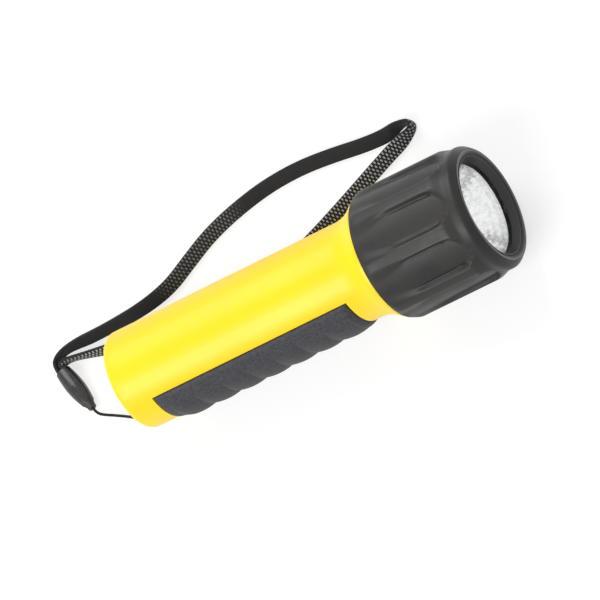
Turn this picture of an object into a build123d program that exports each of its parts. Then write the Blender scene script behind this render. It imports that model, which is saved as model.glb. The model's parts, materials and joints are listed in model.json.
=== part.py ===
"""Battery diving torch: twist-head switch, fluted rubber head, grip pad and wrist lanyard.

Everything but the lanyard is drawn in the torch frame: X runs along the torch, from 0 at the tail
face towards the head, and angles are turned about X from +Z towards -Y. The finished pieces are
then laid down as the torch lies at rest, on the tail's lower edge and two lands of the head.
"""
from build123d import *
from math import asin, cos, pi, radians, sin, sqrt, tan
import os

# ------------------------------------------------------------------ driving sizes, millimetres
FIT = 0.1            # between pieces that sit still in one another
RUN = 0.3            # between pieces that slide or turn past one another

# barrel
BARREL_R = 19.5
BARREL_WALL = 2.0
TAIL_ROUND = 3.0
TAIL_WALL = 4.0
FLANGE_RISE = 4.4        # flange above the barrel
FRONT_ROOM = 4.4         # front battery board to the flange's front face
FLANGE_BAND = 2.2
FLARE_LENGTH = 11.5
NECK_STEP = 2.4          # neck below the flange
NECK_WALL = 3.1
NECK_LENGTH = 16.8
NECK_LEAD_IN = 0.8

# sealing rings on the neck
O_RING_SECTION = 1.6
O_RING_GROOVE_WIDTH = 2.0
O_RING_FIRST = 2.4       # flange face to the middle of the first groove
O_RING_PITCH = 3.2
O_RING_SQUEEZE = 0.15    # how far the ring stands out of its groove

# grip pad
PAD_START = 13.1
PAD_FRONT_GAP = 3.7      # pad to the start of the flare
PAD_GROOVE = 0.3         # open groove round the pad
PAD_ANGLE = 95.5         # middle of the pad
PAD_HALF_ANGLE = 60.0
PAD_POCKET = 0.8         # how deep the pad is let into the barrel
PAD_RISE = 1.4           # smooth part of the pad above the barrel
PAD_CREST = 0.75         # scallops above the smooth part
PAD_EDGE = 0.4           # height of the pad's ends above the barrel
PAD_RAMP = 3.0           # length of the ramp at each end
PAD_SCALLOPS = 7
PAD_SCALLOP_STEPS = 5    # straight steps in each wave
PAD_SCALLOP_HALF_ANGLE = 36.0
PAD_ROUND = 0.7

# lanyard lug on the tail face
LUG_ANGLE = 152.5
LUG_RADIUS = 15.0        # torch axis to the middle of the lug
LUG_LENGTH = 5.0
LUG_WIDTH = 6.0
LUG_THICKNESS = 2.4
LUG_EYE_R = 1.1

# batteries
CELL_R = 7.1
CELL_LENGTH = 50.5
CELL_BUTTON_R = 2.7
CELL_BUTTON_LENGTH = 1.4
CELL_COLUMNS = 2
CELLS_IN_LINE = 2
CARRIER_WEB = 0.8
CARRIER_HALF_WIDTH = 10.0
CARRIER_CLEARANCE = 0.2
CARRIER_RIB = 1.6
CARRIER_BAYS = 6
CARRIER_FLOOR = 2.2      # plastic left above the cells at the bottom of each bay
BOARD_THICKNESS = 1.2
CONTACT_BUTTON_R = 3.5
CONTACT_BUTTON_HEIGHT = 1.2
SPRING_LENGTH = 4.2
SPRING_R = 3.6
SPRING_WIRE_R = 0.3
SPRING_TURNS = 3

# head
SKIRT_OVERLAP = 0.7      # how far the head's skirt reaches over the flange
SKIRT_DEPTH = 2.5
SKIRT_WALL = 0.3
CORE_WALL = 1.0          # head's inner core round the neck
LAND_HEIGHT = 3.4        # rubber on the core at the lands
SHOULDER_LENGTH = 3.5
LAND_FROM_FRONT = 9.7
LAND_COUNT = 8
LAND_WIDTH_ANGLE = 13.0
FLUTE_REAR_DEPTH = 1.2
FLUTE_FRONT_DEPTH = 2.1
THROAT_FROM_FRONT = 5.6
THROAT_RUBBER = 0.7
LIP_RUBBER = 1.3
LIP_FROM_FRONT = 2.6
LIP_ROLL = 1.6           # lip's outer edge down to its flat crest
LIP_CREST_WIDTH = 1.2
LIP_INNER_DROP = 0.7
RUBBER_FRONT = 1.9       # rubber in front of the head's inner core

# window
CORE_FRONT_WALL = 2.4    # head's core round the window
LENS_SEAT = 1.8          # window glass beyond the opening
LENS_THICKNESS = 3.0
LENS_RECESS = 3.7
LENS_EDGE_BEVEL = 0.3
GASKET_THICKNESS = 1.0
GASKET_WIDTH = 1.3
BEZEL_LENGTH = 3.0
BEZEL_LAND = 0.4

# lamp
CORE_STOP = 1.8          # inner lip of the head's core that holds the lamp
CHAMBER_WALL = 2.9       # head's core round the lamp
REFLECTOR_RIM = 0.9
REFLECTOR_HOLE_R = 3.8
REFLECTOR_WALL = 1.2
REFLECTOR_DEPTH = 20.1
HOUSING_WALL = 1.6
RETAINER_THICKNESS = 1.8
LED_BOARD_R = 14.0
LED_BOARD_THICKNESS = 1.6
LED_BASE = 3.6
LED_BASE_THICKNESS = 1.0
LED_DOME_R = 1.6
HEAT_SINK_LENGTH = 14.0
HEAT_SINK_CORE_R = 11.5
HEAT_SINK_FINS = 5
DRIVER_THICKNESS = 1.6
PIN_R = 1.5
PIN_LENGTH = 5.85
RING_CONTACT_R = 10.0
RING_CONTACT_WIDTH = 1.5
SCREW_COUNT = 3
SCREW_CIRCLE_R = 11.0
SCREW_HEAD_R = 1.8
SCREW_HEAD_HEIGHT = 1.2
SCREW_SHANK_R = 0.9
SCREW_DEPTH = 4.0
SCREW_DRIVE_WIDTH = 0.5

# motion of the twist-head switch
THREAD_LEAD = 3.0
ON_TURN = 120.0          # degrees from off to on
OPEN_TURNS = 3.0         # whole turns that the head is unscrewed
CONTACT_CLEARANCE = 0.15

# lanyard
CORD_R = 0.6
KNOT_R = 1.7
KNOT_HEIGHT = 2.4
STRAP_THICKNESS = 2.0
STRAP_WIDTH = 6.0
SLEEVE_LENGTH = 16.5
SLEEVE_MOUTH_R = 3.1
SLEEVE_MIDDLE_R = 3.7
SLEEVE_END_R = 2.6
COLLAR_LENGTH = 3.0
COLLAR_TIP_R = 1.5
ARC_SHARE = 0.45         # part of the shorter run that a bend's arc may use

# routes with the torch lying at rest, in the row frame
SLEEVE_TIP = (-104.7, 2.3, 3.8)
SLEEVE_HEADING = 111.3   # degrees from +X, from the tip to the mouth
STRAP_HEIGHT = 3.5
CORD_ROUTE = [           # from outside the eye to the collar
    (-84.4, -10.4, 2.4),
    (-88.3, -10.0, 1.2),
    (-93.2, -7.4, 0.9),
    (-98.4, -4.6, 1.2),
    (-102.2, -2.6, 2.6),
]
STRAP_RUN_OUT = 4.2      # straight start of the outer leg
STRAP_RUN_IN = 2.8       # straight end of the leg beside the barrel
STRAP_ROUTE = [          # outer leg, the fold at the far end, then the leg beside the barrel
    (-113.6, 28.2),
    (-110.0, 30.6),
    (-104.4, 30.9),
    (-96.2, 29.9),
    (-86.0, 30.2),
    (-74.0, 31.2),
    (-61.5, 34.4),
    (-50.5, 40.3),
    (-39.5, 45.2),
    (-26.0, 49.2),
    (-11.0, 52.2),
    (4.0, 53.3),
    (18.5, 52.4),
    (31.5, 51.2),
    (42.0, 52.6),
    (48.8, 55.1),
    (53.0, 54.3),
    (53.6, 50.5),
    (50.3, 47.3),
    (43.0, 44.0),
    (32.0, 39.6),
    (18.0, 33.3),
    (4.0, 27.3),
    (-9.0, 22.3),
    (-24.0, 19.2),
    (-41.0, 18.2),
    (-58.0, 18.9),
    (-73.0, 20.8),
    (-85.5, 23.2),
    (-95.0, 25.9),
    (-103.5, 28.0),
    (-108.2, 28.0),
    (-110.8, 26.3),
]

# ------------------------------------------------------------------ places worked out from them
bore_r = BARREL_R - BARREL_WALL
flange_r = BARREL_R + FLANGE_RISE
neck_r = flange_r - NECK_STEP
neck_bore_r = neck_r - NECK_WALL

on_travel = THREAD_LEAD * ON_TURN / 360
open_travel = THREAD_LEAD * OPEN_TURNS

board_r = bore_r - CARRIER_CLEARANCE
rear_board_front = TAIL_WALL + BOARD_THICKNESS
stack_length = CONTACT_BUTTON_HEIGHT + CELLS_IN_LINE * CELL_LENGTH + SPRING_LENGTH
front_board_rear = rear_board_front + stack_length
front_board_front = front_board_rear + BOARD_THICKNESS
column_offset = CARRIER_WEB / 2 + CARRIER_CLEARANCE + CELL_R

flange_front = front_board_front + FRONT_ROOM
neck_front = flange_front + NECK_LENGTH
flare_end = flange_front - FLANGE_BAND
flare_start = flare_end - FLARE_LENGTH
pad_end = flare_start - PAD_FRONT_GAP

pin_tip = front_board_front + on_travel + CONTACT_CLEARANCE
driver_rear = pin_tip + PIN_LENGTH
heat_sink_rear = driver_rear + DRIVER_THICKNESS
led_board_rear = heat_sink_rear + HEAT_SINK_LENGTH
led_board_front = led_board_rear + LED_BOARD_THICKNESS
rim_front = led_board_front + REFLECTOR_DEPTH
lens_back = rim_front + RUN
lens_front = lens_back + LENS_THICKNESS

head_rear = flange_front - SKIRT_OVERLAP
head_front = lens_front + LENS_RECESS
core_rear = head_rear + SKIRT_DEPTH
core_front = head_front - RUBBER_FRONT
core_bore_r = neck_r + RUN
core_r = core_bore_r + CORE_WALL
land_r = core_r + LAND_HEIGHT
throat_r = core_r + THROAT_RUBBER
lip_r = core_r + LIP_RUBBER
lip_crest_outer_r = lip_r - LIP_ROLL
lip_crest_inner_r = lip_crest_outer_r - LIP_CREST_WIDTH
skirt_inner_r = flange_r + RUN
head_rear_r = skirt_inner_r + SKIRT_WALL
flute_half_angle = (360 / LAND_COUNT - LAND_WIDTH_ANGLE) / 2
chamber_rear = neck_front + on_travel + RUN + FIT
lens_seat = lens_back - GASKET_THICKNESS
core_stop_rear = lens_seat - CORE_STOP
window_bore_r = core_r - CORE_FRONT_WALL
lens_r = window_bore_r - FIT
window_r = lens_r - LENS_SEAT
chamber_r = core_r - CHAMBER_WALL
reflector_mouth_r = window_r - REFLECTOR_RIM

housing_front = core_stop_rear - RUN
retainer_rear = chamber_rear + FIT
retainer_front = retainer_rear + RETAINER_THICKNESS
housing_step = retainer_front + RUN
housing_r = chamber_r - RUN
skirt_r = neck_bore_r - RUN
heat_sink_r = skirt_r - HOUSING_WALL / 2 - FIT


# ------------------------------------------------------------------ helpers
def turned(*points, rounds=None):
    """Solid of revolution about X from an outline of (x, radius) points.

    rounds gives a corner radius for chosen outline points, by their place in the list.
    """
    outline = make_face(Polyline(*points, close=True))
    for index, radius in (rounds or {}).items():
        corner = outline.vertices().sort_by_distance((*points[index], 0))[0]
        outline = fillet(corner, radius)
    return revolve(outline, Axis.X)


def tube(x0, x1, outer, inner=0.0):
    """Plain tube or disc about X."""
    return turned((x0, inner), (x1, inner), (x1, outer), (x0, outer))


def sector(outline, middle, half_angle):
    """Part of a turn about X of a flat outline, centred on an angle."""
    return Rot(middle + 90 - half_angle, 0, 0) * revolve(outline, Axis.X, revolution_arc=2 * half_angle)


def at_angle(angle, solid):
    """Turn a solid drawn above the axis (at +Z) to its angle about X."""
    return Rot(angle, 0, 0) * solid


def rod(x0, x1, radius, y=0.0, z=0.0):
    """Cylinder along X with its axis at y, z."""
    return Pos((x0 + x1) / 2, y, z) * Rot(0, 90, 0) * Cylinder(radius, x1 - x0)


# ------------------------------------------------------------------ barrel
def o_ring_places():
    """Middle of each sealing groove along the neck."""
    return [flange_front + O_RING_FIRST + i * O_RING_PITCH for i in range(2)]


def pad_pocket_outline(clearance):
    """Flat outline of the pocket that the grip pad is let into."""
    floor_r = BARREL_R - PAD_POCKET
    x0 = PAD_START - clearance
    x1 = pad_end + clearance
    return make_face(Polyline((x0, floor_r), (x1, floor_r), (x1, BARREL_R + 1), (x0, BARREL_R + 1), close=True))


def lug():
    """Tab on the tail face with an eye for the cord, drawn at +Z."""
    flat = LUG_LENGTH - LUG_WIDTH / 2
    plate = Pos(-flat / 2 + FIT, 0, LUG_RADIUS) * Box(flat + 2 * FIT, LUG_WIDTH, LUG_THICKNESS)
    plate += Pos(-flat, 0, LUG_RADIUS) * Cylinder(LUG_WIDTH / 2, LUG_THICKNESS)
    eye = Pos(-flat, 0, LUG_RADIUS) * Cylinder(LUG_EYE_R, 2 * LUG_THICKNESS)
    return plate - eye


def barrel_shell():
    """Yellow moulded barrel with its flare, flange, sealing neck and lanyard lug."""
    rise = flange_r - BARREL_R
    flare_r = (FLARE_LENGTH ** 2 + rise ** 2) / (2 * rise)
    half = asin(FLARE_LENGTH / flare_r) / 2
    flare_middle = (flare_start + flare_r * sin(half), BARREL_R + flare_r * (1 - cos(half)))
    tail_middle = (
        TAIL_ROUND * (1 - cos(pi / 4)),
        BARREL_R - TAIL_ROUND * (1 - sin(pi / 4)),
    )
    outline = [
        Line((TAIL_WALL, 0), (0, 0)),
        Line((0, 0), (0, BARREL_R - TAIL_ROUND)),
        ThreePointArc((0, BARREL_R - TAIL_ROUND), tail_middle, (TAIL_ROUND, BARREL_R)),
        Line((TAIL_ROUND, BARREL_R), (flare_start, BARREL_R)),
        ThreePointArc((flare_start, BARREL_R), flare_middle, (flare_end, flange_r)),
        Polyline(
            (flare_end, flange_r),
            (flange_front, flange_r),
            (flange_front, neck_r),
            (neck_front - NECK_LEAD_IN, neck_r),
            (neck_front, neck_r - NECK_LEAD_IN),
            (neck_front, neck_bore_r),
            (front_board_front, neck_bore_r),
            (front_board_front, bore_r),
            (TAIL_WALL, bore_r),
            (TAIL_WALL, 0),
        ),
    ]
    shell = revolve(make_face(outline), Axis.X)
    groove_r = neck_r + O_RING_SQUEEZE - O_RING_SECTION
    for middle in o_ring_places():
        half_width = O_RING_GROOVE_WIDTH / 2
        shell -= tube(middle - half_width, middle + half_width, neck_r + 1, groove_r)
    groove_angle = PAD_GROOVE / BARREL_R * 180 / pi
    shell -= sector(pad_pocket_outline(PAD_GROOVE), PAD_ANGLE, PAD_HALF_ANGLE + groove_angle)
    return shell + at_angle(LUG_ANGLE, lug())


def o_ring(middle):
    """Sealing ring in one groove of the neck."""
    ring_r = neck_r + O_RING_SQUEEZE - O_RING_SECTION / 2
    return Pos(middle, 0, 0) * Rot(0, 90, 0) * Torus(ring_r, O_RING_SECTION / 2 - FIT / 2)


def grip_pad():
    """Rubber pad let into the barrel's side, with ramped ends and a row of finger scallops."""
    floor_r = BARREL_R - PAD_POCKET + FIT / 2
    edge_r = BARREL_R + PAD_EDGE
    smooth_r = BARREL_R + PAD_RISE
    base_outline = make_face(Polyline(
        (PAD_START, floor_r),
        (pad_end, floor_r),
        (pad_end, edge_r),
        (pad_end - PAD_RAMP, smooth_r),
        (PAD_START + PAD_RAMP, smooth_r),
        (PAD_START, edge_r),
        close=True,
    ))
    pad = sector(base_outline, PAD_ANGLE, PAD_HALF_ANGLE)
    long_edges = pad.edges().filter_by(Axis.X).sort_by(lambda e: (e.center().Y ** 2 + e.center().Z ** 2) ** 0.5)
    pad = fillet(long_edges[-2:], PAD_ROUND)

    first = PAD_START + PAD_RAMP
    pitch = (pad_end - PAD_START - 2 * PAD_RAMP) / PAD_SCALLOPS
    root_r = smooth_r - PAD_RISE / 2
    wave = [(first, root_r), (first, smooth_r)]
    for i in range(PAD_SCALLOPS):
        for step in range(1, PAD_SCALLOP_STEPS + 1):
            t = step / PAD_SCALLOP_STEPS
            wave.append((first + (i + t) * pitch, smooth_r + 4 * PAD_CREST * t * (1 - t)))
    wave.append((wave[-1][0], root_r))
    return pad + sector(make_face(Polyline(*wave, close=True)), PAD_ANGLE, PAD_SCALLOP_HALF_ANGLE)


# ------------------------------------------------------------------ batteries
def columns():
    """Side-to-side place of each row of cells, and which way its plus end points."""
    return [(column_offset, 1), (-column_offset, -1)]


def column_start(direction):
    """Where a row of cells starts: behind it is a spring or a contact button."""
    gap = SPRING_LENGTH if direction > 0 else CONTACT_BUTTON_HEIGHT
    return rear_board_front + gap


def cell(x0, y, direction):
    """One round cell with its plus button towards the head (1) or the tail (-1)."""
    body_length = CELL_LENGTH - CELL_BUTTON_LENGTH
    can = turned((0, 0), (body_length, 0), (body_length, CELL_R), (0, CELL_R), rounds={2: 0.6, 3: 0.6})
    can += rod(body_length - FIT, CELL_LENGTH, CELL_BUTTON_R)
    if direction < 0:
        can = Pos(CELL_LENGTH, 0, 0) * Rot(0, 0, 180) * can
    return Pos(x0, y, 0) * can


def battery_carrier():
    """Moulded spine with a trough above and below for every row of cells."""
    length = stack_length
    middle = rear_board_front + length / 2
    spine = rod(rear_board_front, front_board_rear, board_r)
    spine &= Pos(middle, 0, 0) * Box(length, 2 * CARRIER_HALF_WIDTH, 2 * board_r)
    for y, _ in columns():
        spine -= rod(rear_board_front - 1, front_board_rear + 1, CELL_R + CARRIER_CLEARANCE, y)
    bay = (length - CARRIER_RIB) / CARRIER_BAYS
    floor_z = CELL_R + CARRIER_FLOOR
    pocket = Box(bay - CARRIER_RIB, 2 * (CARRIER_HALF_WIDTH - CARRIER_RIB), board_r)
    for i in range(CARRIER_BAYS):
        x = rear_board_front + CARRIER_RIB + i * bay + (bay - CARRIER_RIB) / 2
        for side in (1, -1):
            spine -= Pos(x, 0, side * (floor_z + board_r / 2)) * pocket
    return spine


def contact_board(x0, y_button, x_button):
    """Round end board with the button contact of one row of cells."""
    board = tube(x0, x0 + BOARD_THICKNESS, board_r)
    return board + rod(x_button, x_button + CONTACT_BUTTON_HEIGHT, CONTACT_BUTTON_R, y_button)


def contact_spring(x0, y):
    """Coil spring that presses on the flat end of one row of cells."""
    pitch = (SPRING_LENGTH - 2 * SPRING_WIRE_R) / SPRING_TURNS
    path = Helix(pitch=pitch, height=pitch * SPRING_TURNS, radius=SPRING_R - SPRING_WIRE_R)
    start = path @ 0
    section = Plane(origin=start, z_dir=path % 0) * Circle(SPRING_WIRE_R)
    coil = sweep(section, path=path, is_frenet=True)
    return Pos(x0 + SPRING_WIRE_R, y, 0) * Rot(0, 90, 0) * coil


# ------------------------------------------------------------------ head
def head_sleeve():
    """Black rubber head cover: rounded shoulder, eight flutes and a rolled front lip."""
    throat = head_front - THROAT_FROM_FRONT
    lip = head_front - LIP_FROM_FRONT
    land_end = head_front - LAND_FROM_FRONT
    shoulder_end = head_rear + SHOULDER_LENGTH
    outer = [
        (head_rear, head_rear_r),
        (shoulder_end, land_r),
        (land_end, land_r),
        (throat, throat_r),
        (lip, lip_r),
        (head_front, lip_crest_outer_r),
    ]
    rise = land_r - head_rear_r
    shoulder_r = (SHOULDER_LENGTH ** 2 + rise ** 2) / (2 * rise)
    half = asin(SHOULDER_LENGTH / shoulder_r) / 2
    shoulder_middle = (shoulder_end - shoulder_r * sin(half), land_r - shoulder_r * (1 - cos(half)))
    lip_middle = (lip + LIP_FROM_FRONT * sin(pi / 4), lip_r - LIP_ROLL * (1 - cos(pi / 4)))
    inner = [
        (head_front, lip_crest_outer_r),
        (head_front, lip_crest_inner_r),
        (head_front - LIP_INNER_DROP, window_bore_r + FIT),
        (core_front, window_bore_r + FIT),
        (core_front, core_r),
        (core_rear, core_r),
        (core_rear, skirt_inner_r),
        (head_rear, skirt_inner_r),
        (head_rear, head_rear_r),
    ]
    outline = [
        ThreePointArc(outer[0], shoulder_middle, outer[1]),
        Line(outer[1], outer[2]),
        Line(outer[2], outer[3]),
        Line(outer[3], outer[4]),
        ThreePointArc(outer[4], lip_middle, outer[5]),
        Polyline(*inner),
    ]
    cover = revolve(make_face(outline), Axis.X)

    clear_r = land_r + 2
    flute_outline = make_face(Polyline(
        (head_rear - 1, land_r - FLUTE_REAR_DEPTH),
        (throat, land_r - FLUTE_FRONT_DEPTH),
        (throat, clear_r),
        (head_rear - 1, clear_r),
        close=True,
    ))
    for i in range(LAND_COUNT):
        cover -= sector(flute_outline, i * 360 / LAND_COUNT, flute_half_angle)
    return cover


def head_core():
    """Hard inner shell of the head: thread bore, lamp chamber and window seat."""
    return turned(
        (core_rear, core_bore_r),
        (chamber_rear, core_bore_r),
        (chamber_rear, chamber_r),
        (core_stop_rear, chamber_r),
        (core_stop_rear, window_r + RUN + FIT),
        (lens_seat, window_r + RUN + FIT),
        (lens_seat, window_bore_r),
        (core_front, window_bore_r),
        (core_front, core_r),
        (core_rear, core_r),
    )


def lens():
    """Clear flat window with bevelled edges."""
    bevel = LENS_EDGE_BEVEL
    return turned(
        (lens_back, 0),
        (lens_front, 0),
        (lens_front, lens_r - bevel),
        (lens_front - bevel, lens_r),
        (lens_back + bevel, lens_r),
        (lens_back, lens_r - bevel),
    )


def lens_gasket():
    """Flat sealing ring behind the window."""
    return tube(lens_seat, lens_back, lens_r, lens_r - GASKET_WIDTH)


def bezel_ring():
    """Screwed ring that holds the window, with a sloping inner face."""
    front = lens_front + BEZEL_LENGTH
    return turned(
        (lens_front, window_r),
        (lens_front, lens_r),
        (front, lens_r),
        (front, lens_r - BEZEL_LAND),
        (lens_front + BEZEL_LAND, window_r),
    )


def lamp_retainer():
    """Ring behind the lamp that keeps it in the head."""
    return tube(retainer_rear, retainer_front, chamber_r - FIT / 2, skirt_r + RUN)


# ------------------------------------------------------------------ lamp
def lamp_housing():
    """Stepped plastic tube that carries the reflector in front and the electronics behind."""
    bore = skirt_r - HOUSING_WALL / 2
    cup = housing_r - HOUSING_WALL
    return turned(
        (driver_rear, bore),
        (driver_rear, skirt_r),
        (housing_step, skirt_r),
        (housing_step, housing_r),
        (housing_front, housing_r),
        (housing_front, cup),
        (housing_step + HOUSING_WALL, cup),
        (housing_step + HOUSING_WALL, bore),
    )


def reflector_radius(depth_from_hole):
    """Radius of the parabola at a distance in front of its hole."""
    growth = (reflector_mouth_r ** 2 - REFLECTOR_HOLE_R ** 2) / REFLECTOR_DEPTH
    return sqrt(REFLECTOR_HOLE_R ** 2 + growth * depth_from_hole)


def reflector():
    """Bright parabolic dish with a rim that seats on the housing."""
    places = [led_board_front + REFLECTOR_DEPTH * t for t in (0, 0.12, 0.3, 0.6, 1)]
    inside = [(x, reflector_radius(x - led_board_front)) for x in places]
    outside = [(x, r + REFLECTOR_WALL) for x, r in inside if x < housing_front - 4]
    rim_rear_r = reflector_radius(housing_front - led_board_front) + REFLECTOR_WALL / 2
    outline = [
        Spline(*inside),
        Polyline(inside[-1], (rim_front, window_r), (housing_front, window_r), (housing_front, rim_rear_r)),
        Spline((housing_front, rim_rear_r), *reversed(outside)),
        Line(outside[0], inside[0]),
    ]
    return revolve(make_face(outline), Axis.X)


def led_board():
    """Round metal-core board behind the reflector, drilled for its screws."""
    board = tube(led_board_rear, led_board_front, LED_BOARD_R)
    for place in screw_places():
        board -= rod(led_board_rear - 1, led_board_front + 1, SCREW_SHANK_R + FIT / 2, *place)
    return board


def led_emitter():
    """Square emitter with a clear dome, in the reflector's hole."""
    base = Pos(led_board_front + LED_BASE_THICKNESS / 2, 0, 0) * Box(LED_BASE_THICKNESS, LED_BASE, LED_BASE)
    dome = Rot(0, 90, 0) * Sphere(LED_DOME_R, arc_size1=0)
    dome = Pos(led_board_front + LED_BASE_THICKNESS, 0, 0) * dome
    return base + dome


def heat_sink():
    """Turned aluminium heat sink with ring fins."""
    sink = rod(heat_sink_rear, led_board_rear, heat_sink_r)
    slots = HEAT_SINK_FINS - 1
    pitch = HEAT_SINK_LENGTH / (2 * slots + 1)
    for i in range(slots):
        x0 = heat_sink_rear + (2 * i + 1) * pitch
        sink -= tube(x0, x0 + pitch, heat_sink_r + 1, HEAT_SINK_CORE_R)
    for place in screw_places():
        sink -= rod(led_board_rear - SCREW_DEPTH - FIT, led_board_rear + 1, SCREW_SHANK_R + FIT / 2, *place)
    return sink


def screw_places():
    """Centres of the emitter board's screws, as y and z."""
    angles = [2 * pi * i / SCREW_COUNT for i in range(SCREW_COUNT)]
    return [(SCREW_CIRCLE_R * sin(a), SCREW_CIRCLE_R * cos(a)) for a in angles]


def board_screws():
    """Slotted screws that hold the emitter board to the heat sink."""
    screws = []
    for y, z in screw_places():
        head_end = led_board_front + SCREW_HEAD_HEIGHT
        screw = rod(led_board_front, head_end, SCREW_HEAD_R, y, z)
        screw += rod(led_board_rear - SCREW_DEPTH, led_board_front + FIT, SCREW_SHANK_R, y, z)
        slot = Box(SCREW_HEAD_HEIGHT, SCREW_DRIVE_WIDTH, 3 * SCREW_HEAD_R)
        screws.append(screw - Pos(head_end, y, z) * slot)
    return Compound(children=screws)


def driver_board():
    """Round electronics board at the rear of the lamp."""
    return tube(driver_rear, heat_sink_rear, heat_sink_r)


def contact_pin():
    """Middle contact that meets the front battery board when the head is turned on."""
    pin = turned((pin_tip, 0), (driver_rear, 0), (driver_rear, PIN_R), (pin_tip, PIN_R), rounds={3: PIN_R / 2})
    return pin


def ring_contact():
    """Outer ring contact around the pin."""
    return tube(pin_tip, driver_rear, RING_CONTACT_R, RING_CONTACT_R - RING_CONTACT_WIDTH)


# ------------------------------------------------------------------ lanyard
def heading():
    """Unit direction of the sleeve, from its tip to its mouth."""
    angle = radians(SLEEVE_HEADING)
    return Vector(cos(angle), sin(angle), 0)


def bend_radii(points):
    """Largest arc for each inner point of a route that its two runs allow."""
    radii = []
    for before, here, after in zip(points, points[1:], points[2:]):
        turn = radians((here - before).get_angle(after - here))
        shorter = min((here - before).length, (after - here).length)
        radii.append(ARC_SHARE * shorter / tan(turn / 2))
    return radii


def route_path(name, points):
    """Straight runs joined by tangent arcs, with the radii printed."""
    points = [Vector(*point) for point in points]
    radii = bend_radii(points)
    path = FilletPolyline(*points, radius=radii)
    print(name, "radii", [round(r, 1) for r in radii], "length", round(path.length, 1))
    return path


def swept(path, outline):
    """Sweep an outline, drawn across the path with its Y upwards, along the path."""
    start = path % 0
    across = Vector(0, 0, 1).cross(start)
    section = Plane(origin=path @ 0, x_dir=across, z_dir=start) * outline
    solid = sweep(section, path=path)
    print("volume", round(solid.volume, 1), "section times length", round(outline.area * path.length, 1))
    return solid


def knot_face_r():
    """Distance from the torch's axis of the lug face that the knot rests on."""
    return LUG_RADIUS - LUG_THICKNESS / 2 - FIT / 2


def eye_x():
    """Place of the lug's eye behind the tail face."""
    return LUG_WIDTH / 2 - LUG_LENGTH


def lanyard_knot():
    """Stopper knot on the inner side of the lug, in the torch frame at +Z."""
    ball = Pos(eye_x(), 0, knot_face_r() - KNOT_HEIGHT + KNOT_R) * Sphere(KNOT_R)
    below = Pos(eye_x(), 0, knot_face_r() - KNOT_R) * Box(3 * KNOT_R, 3 * KNOT_R, 2 * KNOT_R)
    return ball & below


def lanyard_cord(rest):
    """Thin cord from the knot, out through the eye and along the surface to the collar."""
    start = at_angle(LUG_ANGLE, Pos(eye_x(), 0, knot_face_r()))
    bend = at_angle(LUG_ANGLE, Pos(eye_x(), 0, LUG_RADIUS + LUG_THICKNESS))
    tip = Vector(*SLEEVE_TIP)
    run_in = tip - heading() * COLLAR_LENGTH * 0.8
    points = [(rest * start).position, (rest * bend).position, *CORD_ROUTE, run_in, tip]
    return swept(route_path("lanyard cord", points), Circle(CORD_R))


def sleeve_outline_solid(*points):
    """Solid of revolution along the sleeve's axis, from (distance from the tip, radius) points."""
    return Pos(*SLEEVE_TIP) * Rot(0, 0, SLEEVE_HEADING) * turned(*points)


def lanyard_collar():
    """Small cone that closes the sleeve around the thin cord."""
    return sleeve_outline_solid((0, 0), (COLLAR_LENGTH, 0), (COLLAR_LENGTH, SLEEVE_END_R - 0.3), (0, COLLAR_TIP_R))


def lanyard_sleeve():
    """Bulged moulded sleeve between the thin cord and the strap."""
    mouth = COLLAR_LENGTH + SLEEVE_LENGTH
    outline = make_face([
        Line((COLLAR_LENGTH, 0), (COLLAR_LENGTH, SLEEVE_END_R)),
        ThreePointArc(
            (COLLAR_LENGTH, SLEEVE_END_R),
            (COLLAR_LENGTH + SLEEVE_LENGTH * 0.52, SLEEVE_MIDDLE_R),
            (mouth, SLEEVE_MOUTH_R),
        ),
        Line((mouth, SLEEVE_MOUTH_R), (mouth, 0)),
        Line((mouth, 0), (COLLAR_LENGTH, 0)),
    ])
    return Pos(*SLEEVE_TIP) * Rot(0, 0, SLEEVE_HEADING) * revolve(outline, Axis.X)


def wrist_strap():
    """Flat braided strap standing on its edge: out of the sleeve, round and back into it."""
    mouth = Vector(*SLEEVE_TIP) + heading() * (COLLAR_LENGTH + SLEEVE_LENGTH)
    mouth = Vector(mouth.X, mouth.Y, STRAP_HEIGHT)
    apart = heading().rotate(Axis.Z, 90) * (STRAP_THICKNESS + RUN) / 2
    out = mouth + apart
    back = mouth - apart
    route = [Vector(x, y, STRAP_HEIGHT) for x, y in STRAP_ROUTE]
    points = [out, out + heading() * STRAP_RUN_OUT, *route, back + heading() * STRAP_RUN_IN, back]
    path = route_path("wrist strap", points)
    return swept(path, Rectangle(STRAP_THICKNESS, STRAP_WIDTH))


# ------------------------------------------------------------------ rest position
def rest_tilt():
    """Angle that the torch's axis makes with the surface, head end higher.

    It lies on the rounded lower edge of the tail and on the rear ends of two lands.
    """
    land_x = head_rear + SHOULDER_LENGTH
    land_drop = land_r * cos(radians(flute_half_angle))
    centre_drop = BARREL_R - TAIL_ROUND
    tilt = 0.0
    for _ in range(8):
        tilt = asin(((land_drop - centre_drop) * cos(tilt) - TAIL_ROUND) / (land_x - TAIL_ROUND))
    return tilt


def rest_location(outer_pieces):
    """Location that lays the torch down with the middle of its box above the origin."""
    tilted = Rot(0, -rest_tilt() * 180 / pi, 0)
    box = Compound(children=[tilted * piece for piece in outer_pieces]).bounding_box()
    middle = (box.min + box.max) / 2
    return Pos(-middle.X, -middle.Y, -box.min.Z) * tilted


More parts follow.
